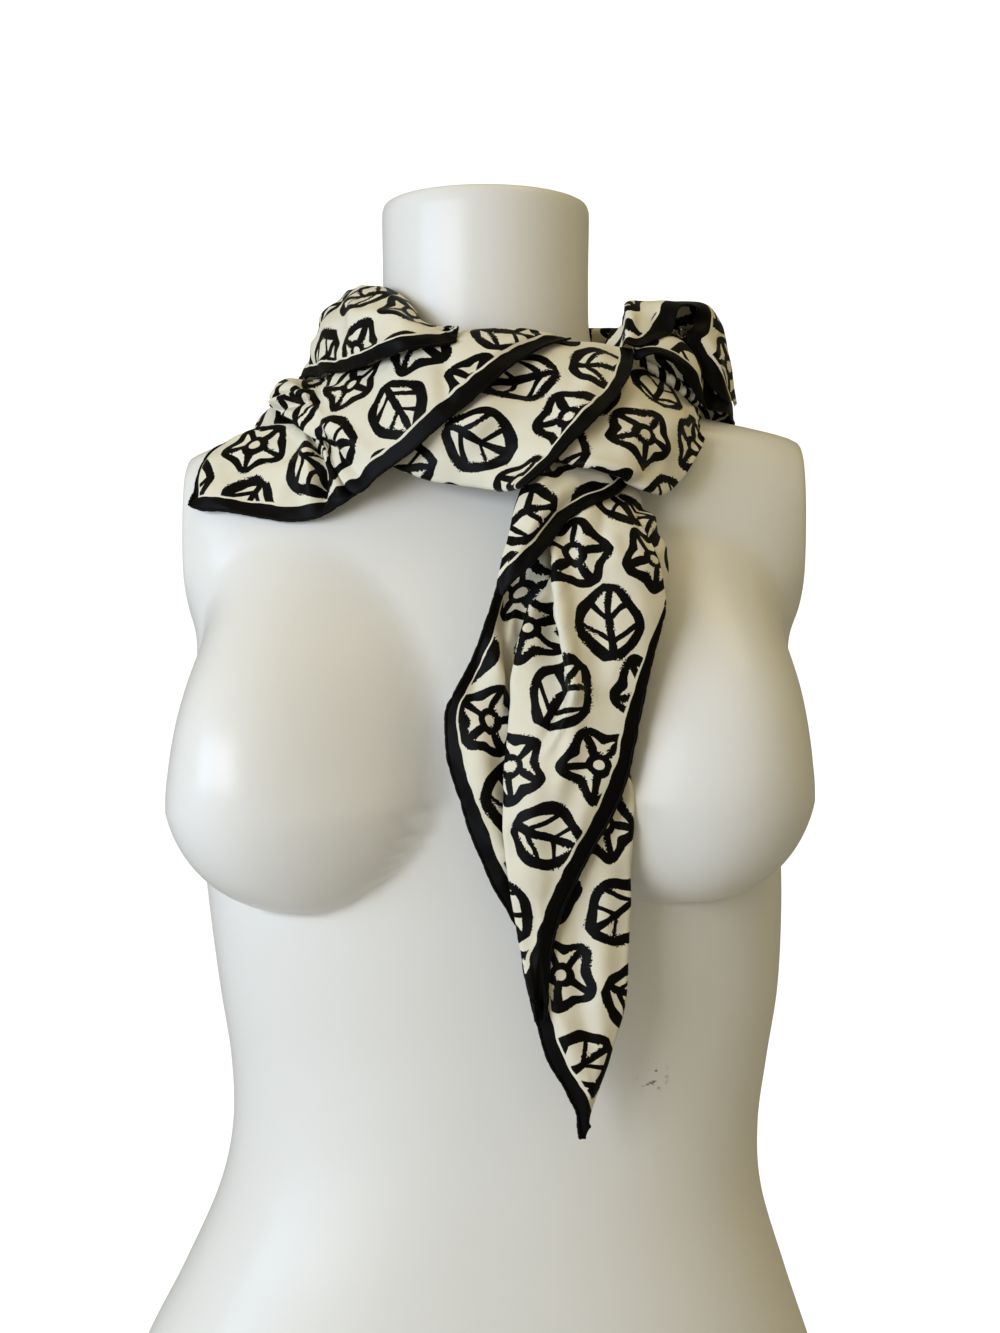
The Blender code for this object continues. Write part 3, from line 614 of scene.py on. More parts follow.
def form_point(level, angle):
    """The point of the form's skin at one angle of one ring, in metres."""
    height, middle, half_width, front, back, squareness = level
    c, s = math.cos(angle), math.sin(angle)
    x = middle + half_width * math.copysign(abs(c) ** (2 / squareness), c)
    y = (back if s > 0 else front) * math.copysign(abs(s) ** (2 / squareness), s)
    z = height
    if y < 0:
        full = BUST_DEPTH * bust_fullness(x, abs(x) + BUST_ROUND * (front + y), height)
        x += math.copysign(full * BUST_WAY[0], x)
        y += full * BUST_WAY[1]
        z += full * BUST_WAY[2]
    aside = x - ARM_PLATE_MIDDLE
    past = (abs(aside) - ARM_PLATE_X + ARM_PLATE_SOFT) / ARM_PLATE_SOFT
    if height > ARM_PLATE_ABOVE and past > 0:
        soft = ARM_PLATE_X - ARM_PLATE_SOFT * math.exp(-past)
        x = ARM_PLATE_MIDDLE + math.copysign(soft, aside)
    tilt = SHOULDER_TILT * max(0.0, 1 - abs(height - SHOULDER_HEIGHT) / SHOULDER_TILT_REACH)
    return x * MM, y * MM, (z + tilt * x) * MM


def form_levels():
    """The rings of FORM_RINGS, with smooth ones between them."""
    levels = []
    rows = np.array(FORM_RINGS, float)
    for i in range(len(rows) - 1):
        steps = max(2, math.ceil((rows[i + 1][0] - rows[i][0]) / RING_SPACING))
        near = rows[np.clip(np.arange(i - 1, i + 3), 0, len(rows) - 1)]
        levels += list(catmull(near, steps, 0)[steps:2 * steps])
    return levels + [rows[-1]]


def make_form():
    """The form's skin, closed by a flat base and a flat top to its neck."""
    angles = [2 * math.pi * (k + 0.5) / RING_POINTS for k in range(RING_POINTS)]
    levels = form_levels()
    points = [form_point(level, angle) for level in levels for angle in angles]
    base_edge = [(k, (k + 1) % RING_POINTS) for k in range(RING_POINTS)]
    return make_object("form_skin", points, tube(len(levels), RING_POINTS), sharp=base_edge)


# Cloth: the stretch's surface as in the CAD source


def outward(points):
    """The way out of the form at points: away from a level bar inside it, and up at the shoulders."""
    x, y, z = points[..., 0], points[..., 1], points[..., 2]
    reach = BAR_REACH * MM * np.clip((BAR_TOP * MM - z) / (BAR_TOP - BAR_FULL) / MM, 0, 1)
    up = np.maximum(0, z - SHOULDER_START * MM)
    return unit(np.stack([x - np.clip(x, -reach, reach), y, up], -1))


def normals_of(grid):
    """The way out of the cloth at each point of a grid."""
    ways = unit(np.cross(np.gradient(grid, axis=0), np.gradient(grid, axis=1)))
    facing = (ways * outward(grid)).sum()
    return ways if facing > 0 else -ways


def beside_line(places, start, step):
    """Where places lie beside a line, as complex numbers: share of it passed, distance and side."""
    gap = places - start
    over = gap * np.conj(step)
    share = np.clip(over.real / np.maximum(abs(step) ** 2, TINY), 0, 1)
    return share, abs(gap - share * step), np.sign(over.imag)


def fold_height(folds, places, long, wide):
    """How far a stretch's larger folds move its face at places, in millimetres."""
    total = np.zeros(places.shape)
    for u0, v0, u1, v1, height, half_width in folds:
        start, end = complex(u0 * long, v0 * wide), complex(u1 * long, v1 * wide)
        t, far, _ = beside_line(places, start, end - start)
        swell = FOLD_END + (1 - FOLD_END) * np.sin(math.pi * np.clip(t, FOLD_CLIP, 1 - FOLD_CLIP))
        total += height * np.exp(-(far / half_width) ** 2) * swell
    return total


def cloth_face(rows, steps, count, folds, bow):
    """The stretch's face as a grid of points, in metres, before it is laid on anything."""
    rows = catmull(rows, steps, 0)
    first, second, crown = rows[:, :3], rows[:, 3:6], rows[:, 6]
    middles = (first + second) / 2
    long = np.linalg.norm(np.diff(middles, axis=0), axis=1).sum()
    wide = np.linalg.norm(second - first, axis=1).mean()
    k = np.arange(len(rows))
    on = middles[np.minimum(k + 1, k[-1])] - middles[np.maximum(k - 1, 0)]
    side = unit(np.cross(on, second - first))
    side *= np.sign((side * outward(middles * MM)).sum(1))[:, None]
    u = np.linspace(0, 1, len(rows))[:, None]
    v = np.linspace(0, 1, count)[None, :, None]
    near_end = np.maximum(0, 1 - (1 - u[..., None]) / END_BOW_REACH)
    stand = side[:, None] * crown[:, None, None] * 4 * v * (1 - v)
    stand = stand + unit(on)[:, None] * bow * 4 * v * (1 - v) * near_end ** 2
    grid = (first[:, None] + (second - first)[:, None] * v + stand) * MM
    lift = fold_height(folds, u * long + 1j * v[..., 0] * wide, long, wide)
    return grid + normals_of(grid) * lift[..., None] * MM


def clearance(across, turns):
    """How far the face of the cloth stays from what it lies on, in metres."""
    need = WALL / 2 + CLEAR
    if (turns[0] and across < EDGE_QUARTER) or (turns[1] and across > 1 - EDGE_QUARTER):
        need += 2 * FOLD_RADIUS
    return need * MM


def rise_of(place, way, need, below):
    """How far out a point goes to stand clear of the things below it."""
    rise = 0.0
    for tree in below:
        hit, normal, _, far = tree.ray_cast(place + way * REACH * MM, -way, REACH * MM + need)
        if hit is not None:
            rise = max(rise, REACH * MM - far + need / max(LEAST_SLANT, abs(normal.dot(way))))
        hit, _, _, far = tree.find_nearest(place + way * rise, need)
        if hit is not None:
            rise += need - far
    return rise


def rises_of(grid, needs, below):
    """The same for each point of a grid, whose columns have their own needs."""
    ways, rises = outward(grid), np.zeros(grid.shape[:2])
    for i, j in np.ndindex(rises.shape):
        rises[i, j] = rise_of(Vector(grid[i, j]), Vector(ways[i, j]), needs[j], below)
    return rises


def lifted(grid, lift, passes):
    """The grid moved outward, after passes that spread each point's lift to those beside it."""
    for _ in range(passes):
        wide = np.pad(lift, 1, mode="edge")
        mean = (wide[2:, 1:-1] + wide[:-2, 1:-1] + wide[1:-1, 2:] + wide[1:-1, :-2]) / 4
        lift = np.maximum(lift, mean)
    return grid + outward(grid) * lift[..., None]


def doubled(rows):
    """Rows of points, with a row added halfway between each two."""
    out = np.repeat(rows, 2, axis=0)[:-1]
    out[1::2] = (rows[1:] + rows[:-1]) / 2
    return out


def lay_on(grid, turns, below):
    """Lifts the cloth clear of what it lies on, at its points and halfway between them."""
    tall, wide = 2 * grid.shape[0] - 1, 2 * grid.shape[1] - 1
    needs = [clearance(j / (wide - 1), turns) for j in range(wide)]
    for _ in range(LAYINGS):
        places = doubled(doubled(grid).swapaxes(0, 1)).swapaxes(0, 1)
        rises = np.pad(rises_of(places, needs, below), 1)
        near = [rises[i:i + tall:2, j:j + wide:2] for i in range(3) for j in range(3)]
        grid = lifted(grid, np.max(near, axis=0), LIFT_PASSES)
    return grid


# Cloth: its fine surface


def arc_lengths(grid, axis):
    """Distance along the grid's lines, in millimetres."""
    steps = np.linalg.norm(np.diff(grid, axis=axis), axis=-1) / MM
    pad = [(1, 0) if k == axis else (0, 0) for k in range(2)]
    return np.cumsum(np.pad(steps, pad), axis=axis)


def fine_grid(grid):
    """The grid with its points about SPACING apart."""
    along = arc_lengths(grid, 0)[-1].max() / (len(grid) - 1)
    across = arc_lengths(grid, 1)[:, -1].max() / (grid.shape[1] - 1)
    grid = catmull(grid, max(1, round(along / SPACING)), 0)
    return catmull(grid, max(1, round(across / SPACING)), 1)


def seen_at(points):
    """Where the camera sees points, as complex numbers in the picture's pixels."""
    x, y, z = (points[..., k] / MM - CAMERA_PLACE[k] for k in range(3))
    return complex(*PICTURE) / 2 + (x - 1j * z) / y * CAMERA_PIXELS


def crease_height(table, places, size):
    """How far creases move the cloth at places, in millimetres. size is the table's units in them."""
    total = np.zeros(places.shape)
    t = np.linspace(0, 1, CREASE_STEPS + 1)
    for *xy, height, half_width, power, lean, start, end in table:
        p0, p1, p2 = (complex(xy[k] * size[0], xy[k + 1] * size[1]) for k in (0, 2, 4))
        line = ((1 - t) ** 2 * p0 + 2 * t * (1 - t) * p1 + t * t * p2)[:, None, None]
        beside = beside_line(places, line[:-1], np.diff(line, axis=0))
        near = beside[1].argmin(0)[None]
        part, far, side = (np.take_along_axis(values, near, 0)[0] for values in beside)
        at, far = (near[0] + part) / CREASE_STEPS, far / half_width
        least = np.where(at < 0.5, start, end)
        strength = least + (1 - least) * np.sin(math.pi * np.minimum(at, 1 - at))
        total += height * np.exp(-far ** power) * (1 + lean * side * np.minimum(far, 2)) * strength
    return total


def noise_at(places, z):
    return np.array([noise.noise(Vector((p.real, p.imag, z))) for p in places.flat]).reshape(places.shape)


def crumple(places, seed):
    """A fine unevenness of the cloth at flat places, in millimetres."""
    return sum(height * noise_at(places / wave, seed + wave) for wave, height in CRUMPLE)


def ridges(places, seed):
    """Long creases with sharper crests, at places along and across a stretch, in millimetres."""
    out = np.zeros(places.shape)
    for wave, height in RIDGES:
        line = (places.real / RIDGE_STRETCH + 1j * places.imag) / wave
        line = noise_at(line, seed * RIDGE_SEED + wave)
        out += height * (RIDGE_LEVEL - np.sqrt(line ** 2 + RIDGE_ROUND) * 2)
    return out


def creased(grid, flat, edge, name, seed):
    """The grid with its creases, its unevenness and waviness along its hems."""
    pixel = (grid[..., 1].mean() / MM - CAMERA_PLACE[1]) / CAMERA_PIXELS
    lift = crease_height(CREASES.get(name, ()), seen_at(grid) * pixel, (pixel, pixel))
    in_front = np.clip((FRONT_ONLY - grid[..., 1] / MM) / FRONT_FADE, 0, 1)
    lift *= CREASE_GAIN * in_front * in_front * (3 - 2 * in_front)
    size = np.median(arc_lengths(grid, 0)[-1]), np.median(arc_lengths(grid, 1)[:, -1])
    along, across = (np.linspace(0, size[k], flat.shape[k]) for k in (0, 1))
    places = along[:, None] + 1j * across
    lift += crease_height(HIDDEN_CREASES.get(name, ()), places, size)
    lift += crumple(flat, seed) + ridges(places, seed)
    grid = grid + normals_of(grid) * lift[..., None] * MM
    places = HEM_WAVE_WAY[0] * places.real + 1j * HEM_WAVE_WAY[1] * places.imag
    wave = HEM_WAVE * crumple(places, seed + HEM_WAVE_SEED) * np.clip(1 - edge / EDGE_FADE, 0, 1) ** 2
    return grid + unit(np.gradient(grid, axis=1)) * wave[..., None] * MM


def part_of(grid, side, start, end):
    """The points along part of one side of the grid."""
    line = {"first": grid[:, 0], "second": grid[:, -1], "start": grid[0], "end": grid[-1]}[side]
    last = len(line) - 1
    return line[round(start * last):round(end * last) + 1]


def edge_distance(grid, edges):
    """How far each point is from the nearest free edge, where that edge's border is BORDER wide."""
    out = np.full(grid.shape[:2], NO_EDGE)
    for side, start, end, wide_start, wide_end in edges:
        line = catmull(part_of(grid, side, start, end), 2, 0)
        widths = np.linspace(wide_start, wide_end, len(line))
        for row, gaps in zip(grid, out):
            far = np.linalg.norm(row[:, None] - line, axis=-1) / widths
            np.minimum(gaps, far.min(1) * BORDER / MM, out=gaps)
    return out


def turned(grid, flat, turns):
    """The grid and its flat places, with the cloth turned under along its sides."""
    ways, last = normals_of(grid), len(grid) - 1
    room = np.linalg.norm(grid[:, 0] - grid[:, -1], axis=1) / (FOLD_ROOM * MM)
    k = np.arange(last + 1)
    share = np.minimum(np.minimum(np.minimum(k, last - k) / last / FOLD_TAPER, room), 1.0)
    r = (FOLD_RADIUS * MM * (FOLD_END + (1 - FOLD_END) * share))[:, None]
    parts, places = [grid], [flat]
    for turn, order in zip(turns, (1, -1)):
        if not turn:
            continue
        face, way, place = grid[:, ::order], ways[:, ::order], flat[:, ::order]
        out = unit(face[:, 0] - face[:, 1])
        middle = face[:, 0] - way[:, 0] * r
        # round the edge, then back along the underside
        added = [middle + way[:, 0] * r * math.cos(a) + out * r * math.sin(a) for a in BEND_ANGLES]
        lengths = arc_lengths(face, 1)
        for step in range(1, TURN_STEPS + 1):
            left = turn * (TURN_END + (1 - TURN_END) * share) * step / TURN_STEPS
            j = np.array([np.searchsorted(row, d) for row, d in zip(lengths, left)])
            j = np.clip(j, 1, face.shape[1] - 2)
            gap = np.maximum(lengths[k, j] - lengths[k, j - 1], TINY)
            t = ((left - lengths[k, j - 1]) / gap)[:, None]
            added.append(face[k, j - 1] * (1 - t) + face[k, j] * t - way[k, j] * 2 * r)
        added = np.stack(added, 1)
        run = arc_lengths(np.concatenate([face[:, :1], added], 1), 1)[:, 1:]
        flat_way = place[:, :1] - place[:, 1:2]
        beyond = place[:, :1] + flat_way / abs(flat_way) * run
        end = 0 if order == 1 else len(parts)
        parts.insert(end, added[:, ::-order])
        places.insert(end, beyond[:, ::-order])
    return np.concatenate(parts, 1), np.concatenate(places, 1)


def settle(grid, below):
    """Lifts any point that creases have brought too near what lies below."""
    needs = [(SILK + FINE_CLEAR) * MM] * grid.shape[1]
    return lifted(grid, rises_of(grid, needs, below), FINE_PASSES)


def hem(line, seed, radius):
    """A hand-rolled hem: points and faces of an uneven bead along a line."""
    along = unit(np.gradient(line, axis=0))
    side = unit(np.cross(along, outward(line)))
    up = np.cross(side, along)
    last, points = len(line) - 1, []
    for k, place in enumerate(line):
        swell = noise.noise(Vector((k * HEM_PACE, seed, HEM_SEED))) - (k % HEM_STITCH == 0)
        tip = min(1.0, HEM_TIP + min(k, last - k) / HEM_TIP_RINGS)
        r = radius * MM * (1 + HEM_SWELL * swell) * tip
        for n in range(HEM_SIDES):
            a = 2 * math.pi * n / HEM_SIDES
            points.append(place + side[k] * r * math.cos(a) + up[k] * r * math.sin(a))
    return points, tube(len(line), HEM_SIDES)


def twisted(count):
    """Black and cream stripes that wind round a rolled edge: its points' places beside the border."""
    ring, place = np.divmod(np.arange(count), HEM_SIDES)
    return BORDER + ROLL_STRIPE * np.cos(2 * math.pi * (place / HEM_SIDES + ring * ROLL_TURN))


def shell(grid):
    """Both faces of the cloth and its rim: points, faces and the sharp edges."""
    rows, count = grid.shape[:2]
    ways = normals_of(grid) * SILK * MM / 2
    points = np.concatenate([(grid + ways).reshape(-1, 3), (grid - ways).reshape(-1, 3)])
    under = rows * count
    du, dv = grid[1, 0] - grid[0, 0], grid[0, 1] - grid[0, 0]
    order = 1 if np.cross(du, dv).dot(ways[0, 0]) > 0 else -1
    faces, rim = [], []
    for a, d, c, b in quads(rows, count):
        faces.append((a, b, c, d)[::order])
        faces.append(tuple(under + p for p in (d, c, b, a)[::order]))
    marks = np.arange(under).reshape(rows, count)
    ring = [*marks[:, 0], *marks[-1, 1:], *marks[-2::-1, -1], *marks[0, -2:0:-1]]
    ring = [int(p) for p in ring]
    for p, q in zip(ring, ring[1:] + ring[:1]):
        faces.append((q, p, under + p, under + q) if order == 1 else (p, q, under + q, under + p))
        rim += [(p, q), (under + p, under + q)]
    return points, faces, rim


def flat_places(grid):
    """Where points lie on the flat cloth, as complex numbers in mm, as its rows are unrolled in turn."""
    across = arc_lengths(grid, 1)
    ways = unit(np.stack([grid[:, 1] - grid[:, 0], grid[:, -1] - grid[:, -2]], 1))
    steps = np.diff(grid[:, [0, -1]], axis=0) / MM
    along_row = (steps * ways[:-1]).sum(-1)
    ahead = np.sqrt(np.maximum((steps ** 2).sum(-1) - along_row ** 2, 0))
    ends, places = np.array([0, 1j * across[0, -1]]), []
    for i, row in enumerate(across):
        way = (ends[1] - ends[0]) / abs(ends[1] - ends[0])
        ends = ends.mean() + way * row[-1] / 2 * np.array([-1, 1])
        places.append(ends[0] + way * row)
        if i < len(steps):
            ends = ends + way * (along_row[i] - 1j * ahead[i])
    return np.array(places)


def make_stretch(stretch, seed, cad_trees, fine_trees, material):
    """One stretch of the scarf: its creased cloth, its hems and its maps."""
    name, rows, steps, count, turn_first, turn_second, below = stretch
    turns, edges = (turn_first, turn_second), FREE_EDGES_AND_PAINTED_SHADE.get(name, ())
    grid = cloth_face(rows, steps, count, FOLDS.get(name, ()), END_BOWS.get(name, 0.0))
    grid = fine_grid(lay_on(grid, turns, [cad_trees[n] for n in below]))
    flat, edge = flat_places(grid), edge_distance(grid, edges)
    grid = settle(creased(grid, flat, edge, name, seed), [fine_trees[n] for n in below])
    grid, flat = turned(grid, flat, turns)
    added = [len(BEND_ANGLES) + TURN_STEPS if turn else 0 for turn in turns]
    edge = np.pad(edge, ((0, 0), added), mode="edge")
    points, faces, rim = shell(grid)
    flat, edge = (np.concatenate([places.ravel()] * 2) for places in (flat, edge))
    grid = grid[:, added[0]:grid.shape[1] - added[1]]
    beads = [(part_of(grid, *row[:3]), HEM_RADIUS) for row in edges]
    if name in ROLLED:
        line = part_of(grid, *ROLLED[name])
        beads.append((line + outward(line) * ROLL_RISE * MM, ROLL_RADIUS))
    for n, (line, radius) in enumerate(beads):
        bead, bead_faces = hem(line, seed + n, radius)
        faces += [tuple(len(points) + p for p in face) for face in bead_faces]
        points = np.concatenate([points, bead])
        black = np.zeros(len(bead))
        flat = np.concatenate([flat, black])
        edge = np.concatenate([edge, twisted(len(bead)) if radius == ROLL_RADIUS else black])
    thing = make_object("silk_" + name, points, faces, sharp=rim)
    # each stretch has its own part of the print
    add_map(thing, "cloth", flat * np.exp(1j * math.radians(PRINT_TURN * seed)) + PRINT_STEP * seed)
    add_map(thing, "edge", edge)
    thing.data.materials.append(material)
    return thing


def add_map(thing, name, places):
    """A UV map, in metres, from one place for each vertex."""
    mesh, uv = thing.data, np.stack([places.real, places.imag], 1) * MM
    corners = np.zeros(len(mesh.loops), int)
    mesh.loops.foreach_get("vertex_index", corners)
    layer = mesh.uv_layers.new(name=name)
    layer.uv.foreach_set("vector", uv[corners].astype(np.float32).ravel())


# Materials


def operator(operation, order=1):
    """A method that stands for a maths node of a field and what it is used with."""
    return lambda *values: values[0].nodes.math(operation, *values[::order])


class Field:
    """What a node gives at each point, for use in plain arithmetic."""

    def __init__(self, nodes, socket):
        self.nodes, self.socket = nodes, socket

    __add__ = operator("ADD")
    __sub__ = operator("SUBTRACT")
    __rsub__ = operator("SUBTRACT", -1)
    __mul__ = operator("MULTIPLY")
    __truediv__ = operator("DIVIDE")
    __mod__ = operator("MODULO")
    __abs__ = operator("ABSOLUTE")


class Nodes:
    """Short names for building the nodes of a material or the world."""

    def __init__(self, owner, shader="Principled BSDF"):
        owner.use_nodes = True
        self.tree = owner.node_tree
        self.shader = self.tree.nodes[shader]

    def give(self, node, inputs):
        """Sets a node's inputs, each to a field, a number or a colour."""
        for key, value in inputs.items():
            socket = node.inputs[key]
            if isinstance(value, Field):
                self.tree.links.new(value.socket, socket)
            else:
                socket.default_value = (*value, 1) if socket.type == "RGBA" else value

    def add(self, kind, output, inputs, **settings):
        """A new node, as the field that one of its outputs gives."""
        node = self.tree.nodes.new("ShaderNode" + kind)
        for key, value in settings.items():
            setattr(node, key, value)
        self.give(node, inputs)
        return Field(self, node.outputs[output])

    def math(self, operation, *values):
        return self.add("Math", 0, dict(enumerate(values)), operation=operation)

    def least(self, first, *others):
        return self.math("MINIMUM", first, self.least(*others)) if others else first

    def most(self, first, *others):
        return self.math("MAXIMUM", first, self.most(*others)) if others else first

    def step(self, low, high, value):
        """From 0 to 1, smoothly, as value goes from low to high."""
        return self.add("MapRange", 0, {0: value, 1: low, 2: high}, interpolation_type="SMOOTHSTEP")

    def noise(self, vector, scale, detail, output="Fac"):
        return self.add("TexNoise", output, {"Vector": vector, "Scale": scale, "Detail": detail})

    def mix(self, share, first, second):
        return self.add("Mix", 2, {0: share, 6: first, 7: second}, data_type="RGBA")

    def split(self, vector):
        first = self.add("SeparateXYZ", 0, {0: vector})
        return [Field(self, output) for output in first.socket.node.outputs]

    def uv_map(self, name):
        return self.add("UVMap", 0, {}, uv_map=name)

    def bump(self, height, strength, distance):
        return self.add("Bump", 0, {"Strength": strength, "Distance": distance, "Height": height})


# The print, in metres on the flat cloth
CELL_X, CELL_Y = 0.0396, 0.0400  # one motif's room
CELL_SHIFT = 0.0015  # how far a motif may stray from its place
CHANCE_SEED = 4.0
MOTIF_REACH = 0.0190  # a leaf's outline ends here
WOBBLE, WOBBLE_SCALE = 0.0052, 62.0  # how far a drawn line strays, and how often
DRY_SCALE, DRY_FROM, DRY_TO = 75.0, 0.50, 0.62  # where the brush was dry
DRY_EDGE, WET_EDGE = 0.0034, 0.0006  # how ragged a line's edge is there, and elsewhere
BRISTLE_SCALE = 1100.0  # how fine the raggedness is
WEIGHT, WEIGHT_SCALE = 0.0016, 120.0  # how much heavier and lighter a line gets
LINE_SOFT = 0.00012  # half the width over which the ink ends
BORDER_WEIGHT, BORDER_RAGGED = 0.0022, 0.0004  # how uneven and ragged the border's edge is
BORDER_SOFT = 0.12  # in millimetres, as the border is
BORDER_ROOM = (1.3, 1.8)  # beside it, where motifs end
INK_HALF = 0.0027  # half the width of a drawn line
PETALS = 5
FLOWER_RIM, FLOWER_WAVE = 0.0153, 0.0019  # radius of its outline, and how far its petals stand out
FLOWER_HEART = 0.0048
HEART_LINE, SPOKE_LINE = 0.7, 0.78  # their widths, beside a drawn line's
LEAF_LONG, LEAF_WIDE = 0.0186, 0.0150  # half its length and half its width
RIB_LINE, VEIN_LINE = 0.80, 0.60
VEIN_STEP, VEIN_SLANT = 0.0122, -0.75  # from one vein to the next, and how far they lean
VEIN_START = 0.35  # share of a step before the first vein
WHOLE_TURNS = 10  # keeps what is split into steps above zero
CREAM = (0.76, 0.715, 0.565)
CREAM_SHADE = (0.67, 0.625, 0.475)
INK = (0.0014, 0.0010, 0.0006)


def flower(n, x, y):
    """How far inside its ink lines a flower's point is, in metres."""
    r = n.math("SQRT", x * x + y * y)
    angle = n.math("ARCTAN2", y, x)
    rim = n.math("COSINE", angle * PETALS) * FLOWER_WAVE + FLOWER_RIM
    heart = r - FLOWER_HEART
    petal = 2 * math.pi / PETALS
    aside = abs(n.math("FRACT", angle / petal + (WHOLE_TURNS + 0.5)) - 0.5) * petal * r
    spoke = n.least(INK_HALF * SPOKE_LINE - aside, rim - r, heart)
    return n.most(INK_HALF - abs(r - rim), INK_HALF * HEART_LINE - abs(heart), spoke)


def leaf(n, x, y):
    """The same for a pointed leaf with a midrib and slanting veins."""
    share, across = x / LEAF_LONG, abs(y)
    slope = share * (2 * LEAF_WIDE / LEAF_LONG)
    gap = (across - (1.0 - share * share) * LEAF_WIDE) / n.math("SQRT", slope * slope + 1.0)
    outline = n.least(INK_HALF - abs(gap), MOTIF_REACH - abs(x))
    run = (across * VEIN_SLANT + x) / VEIN_STEP
    vein = abs(n.math("FRACT", run + (WHOLE_TURNS + VEIN_START)) - 0.5) * VEIN_STEP
    veins = n.most(INK_HALF * RIB_LINE - across, INK_HALF * VEIN_LINE - vein)
    return n.most(outline, n.least(veins, gap * -1.0))


def print_ink(n, uv):
    """How much ink the cloth carries: a black border, and leaves and flowers in a half-drop."""
    strays = n.split(n.noise(uv, WOBBLE_SCALE, 0, "Color"))
    x, y, _ = (place + (stray - 0.5) * WOBBLE for place, stray in zip(n.split(uv), strays))
    column = n.math("FLOOR", x / CELL_X)
    down = y / CELL_Y + abs(column) % 2.0 * 0.5
    row = n.math("FLOOR", down)
    cell = n.add("CombineXYZ", 0, {0: column, 1: row, 2: CHANCE_SEED})
    chance = n.add("TexWhiteNoise", "Color", {"Vector": cell}, noise_dimensions="3D")
    turn, shift_x, shift_y = n.split(chance)
    local_x = x - column * CELL_X - CELL_X / 2 + (shift_x - 0.5) * CELL_SHIFT
    local_y = (down - row - 0.5) * CELL_Y + (shift_y - 0.5) * CELL_SHIFT
    c, s = (n.math(wave, turn * (2 * math.pi)) for wave in ("COSINE", "SINE"))
    place = (local_x * c + local_y * s, local_y * c - local_x * s)
    is_leaf = n.math("GREATER_THAN", abs(column + row) % 2.0, 0.5)
    drawn = flower(n, *place) * (1.0 - is_leaf) + leaf(n, *place) * is_leaf
    heavy = n.noise(uv, WEIGHT_SCALE, 0) - 0.5
    bristle = n.noise(uv, BRISTLE_SCALE, 1) - 0.5
    dry = n.step(DRY_FROM, DRY_TO, n.noise(uv, DRY_SCALE, 1))
    motif = drawn + heavy * WEIGHT + bristle * (dry * DRY_EDGE + WET_EDGE)
    edge = n.split(n.uv_map("edge"))[0] + heavy * BORDER_WEIGHT + bristle * BORDER_RAGGED
    border = n.step((BORDER + BORDER_SOFT) * MM, (BORDER - BORDER_SOFT) * MM, edge)
    clear = n.step(*((BORDER + room) * MM for room in BORDER_ROOM), edge)
    return n.most(border, n.step(-LINE_SOFT, LINE_SOFT, motif) * clear)


SILK_ROUGH, INK_ROUGHER = 0.46, 0.05  # its roughness, and how much rougher the ink is
TWILL_STEP = 0.0009  # from one diagonal rib of the weave to the next
SLUB_SCALE, SLUB_LONG = 2400.0, 0.12  # thicker threads, and how much slower they change along
SLUB_SHARE, TWILL_SHARE = 0.8, 0.5
SHADE_SCALE, SHADE_RANGE, SHADE_SHARE = 45.0, (0.35, 0.65), 0.35  # how uneven the cream is


def silk_material():
    silk = bpy.data.materials.new("silk_twill")
    n = Nodes(silk)
    uv = n.uv_map("cloth")
    ink = print_ink(n, uv)
    patch = n.step(*SHADE_RANGE, n.noise(uv, SHADE_SCALE, 3)) * SHADE_SHARE
    x, y, _ = n.split(uv)
    twill = n.math("SINE", (x + y) * (2 * math.pi / TWILL_STEP))
    slub = n.noise(n.add("CombineXYZ", 0, {0: x * SLUB_LONG, 1: y}), SLUB_SCALE, 2)
    n.give(n.shader, {
        "Base Color": n.mix(ink, n.mix(patch, CREAM, CREAM_SHADE), INK),
        "Normal": n.bump(slub * SLUB_SHARE + twill * TWILL_SHARE, strength=0.10, distance=0.0002),
        "Roughness": ink * INK_ROUGHER + SILK_ROUGH,
        "Sheen Weight": 0.02,
        "Sheen Roughness": 0.35,
        "Specular IOR Level": 0.08,
    })
    return silk


PLASTIC = ((0.80, 0.785, 0.73), (0.775, 0.755, 0.695))  # its colours, in wide soft clouds
PLASTIC_ROUGH, SMEAR_SHARE = 0.25, 0.10  # its roughness, and how much rougher smears make it
CLOUD_RANGE = (0.3, 0.7)
CLOUD_SCALE, SMEAR_SCALE, GRAIN_SCALE = 6.0, 14.0, 900.0
SCUFF_PLACE = (0.086, -0.087, 0.265)  # a small scuff, low on the form's right
SCUFF_REACH = 0.011
SCUFF_SCALE, SCUFF_RANGE = 260.0, (0.56, 0.62)  # its streaks
SCUFF_GREY = (0.22, 0.21, 0.19)


def form_material():
    plastic = bpy.data.materials.new("form_plastic")
    n = Nodes(plastic)
    place = n.add("NewGeometry", "Position", {})
    clean = n.mix(n.step(*CLOUD_RANGE, n.noise(place, CLOUD_SCALE, 3)), *PLASTIC)
    away = n.add("VectorMath", "Value", {0: place, 1: SCUFF_PLACE}, operation="DISTANCE")
    streak = n.step(*SCUFF_RANGE, n.noise(place, SCUFF_SCALE, 2))
    scuff = n.step(SCUFF_REACH, SCUFF_REACH / 3, away) * streak
    n.give(n.shader, {
        "Base Color": n.mix(scuff, clean, SCUFF_GREY),
        "Normal": n.bump(n.noise(place, GRAIN_SCALE, 2), strength=0.05, distance=0.0003),
        "Roughness": n.noise(place, SMEAR_SCALE, 3) * SMEAR_SHARE + PLASTIC_ROUGH,
        "Specular IOR Level": 0.42,
    })
    return plastic


# Surroundings

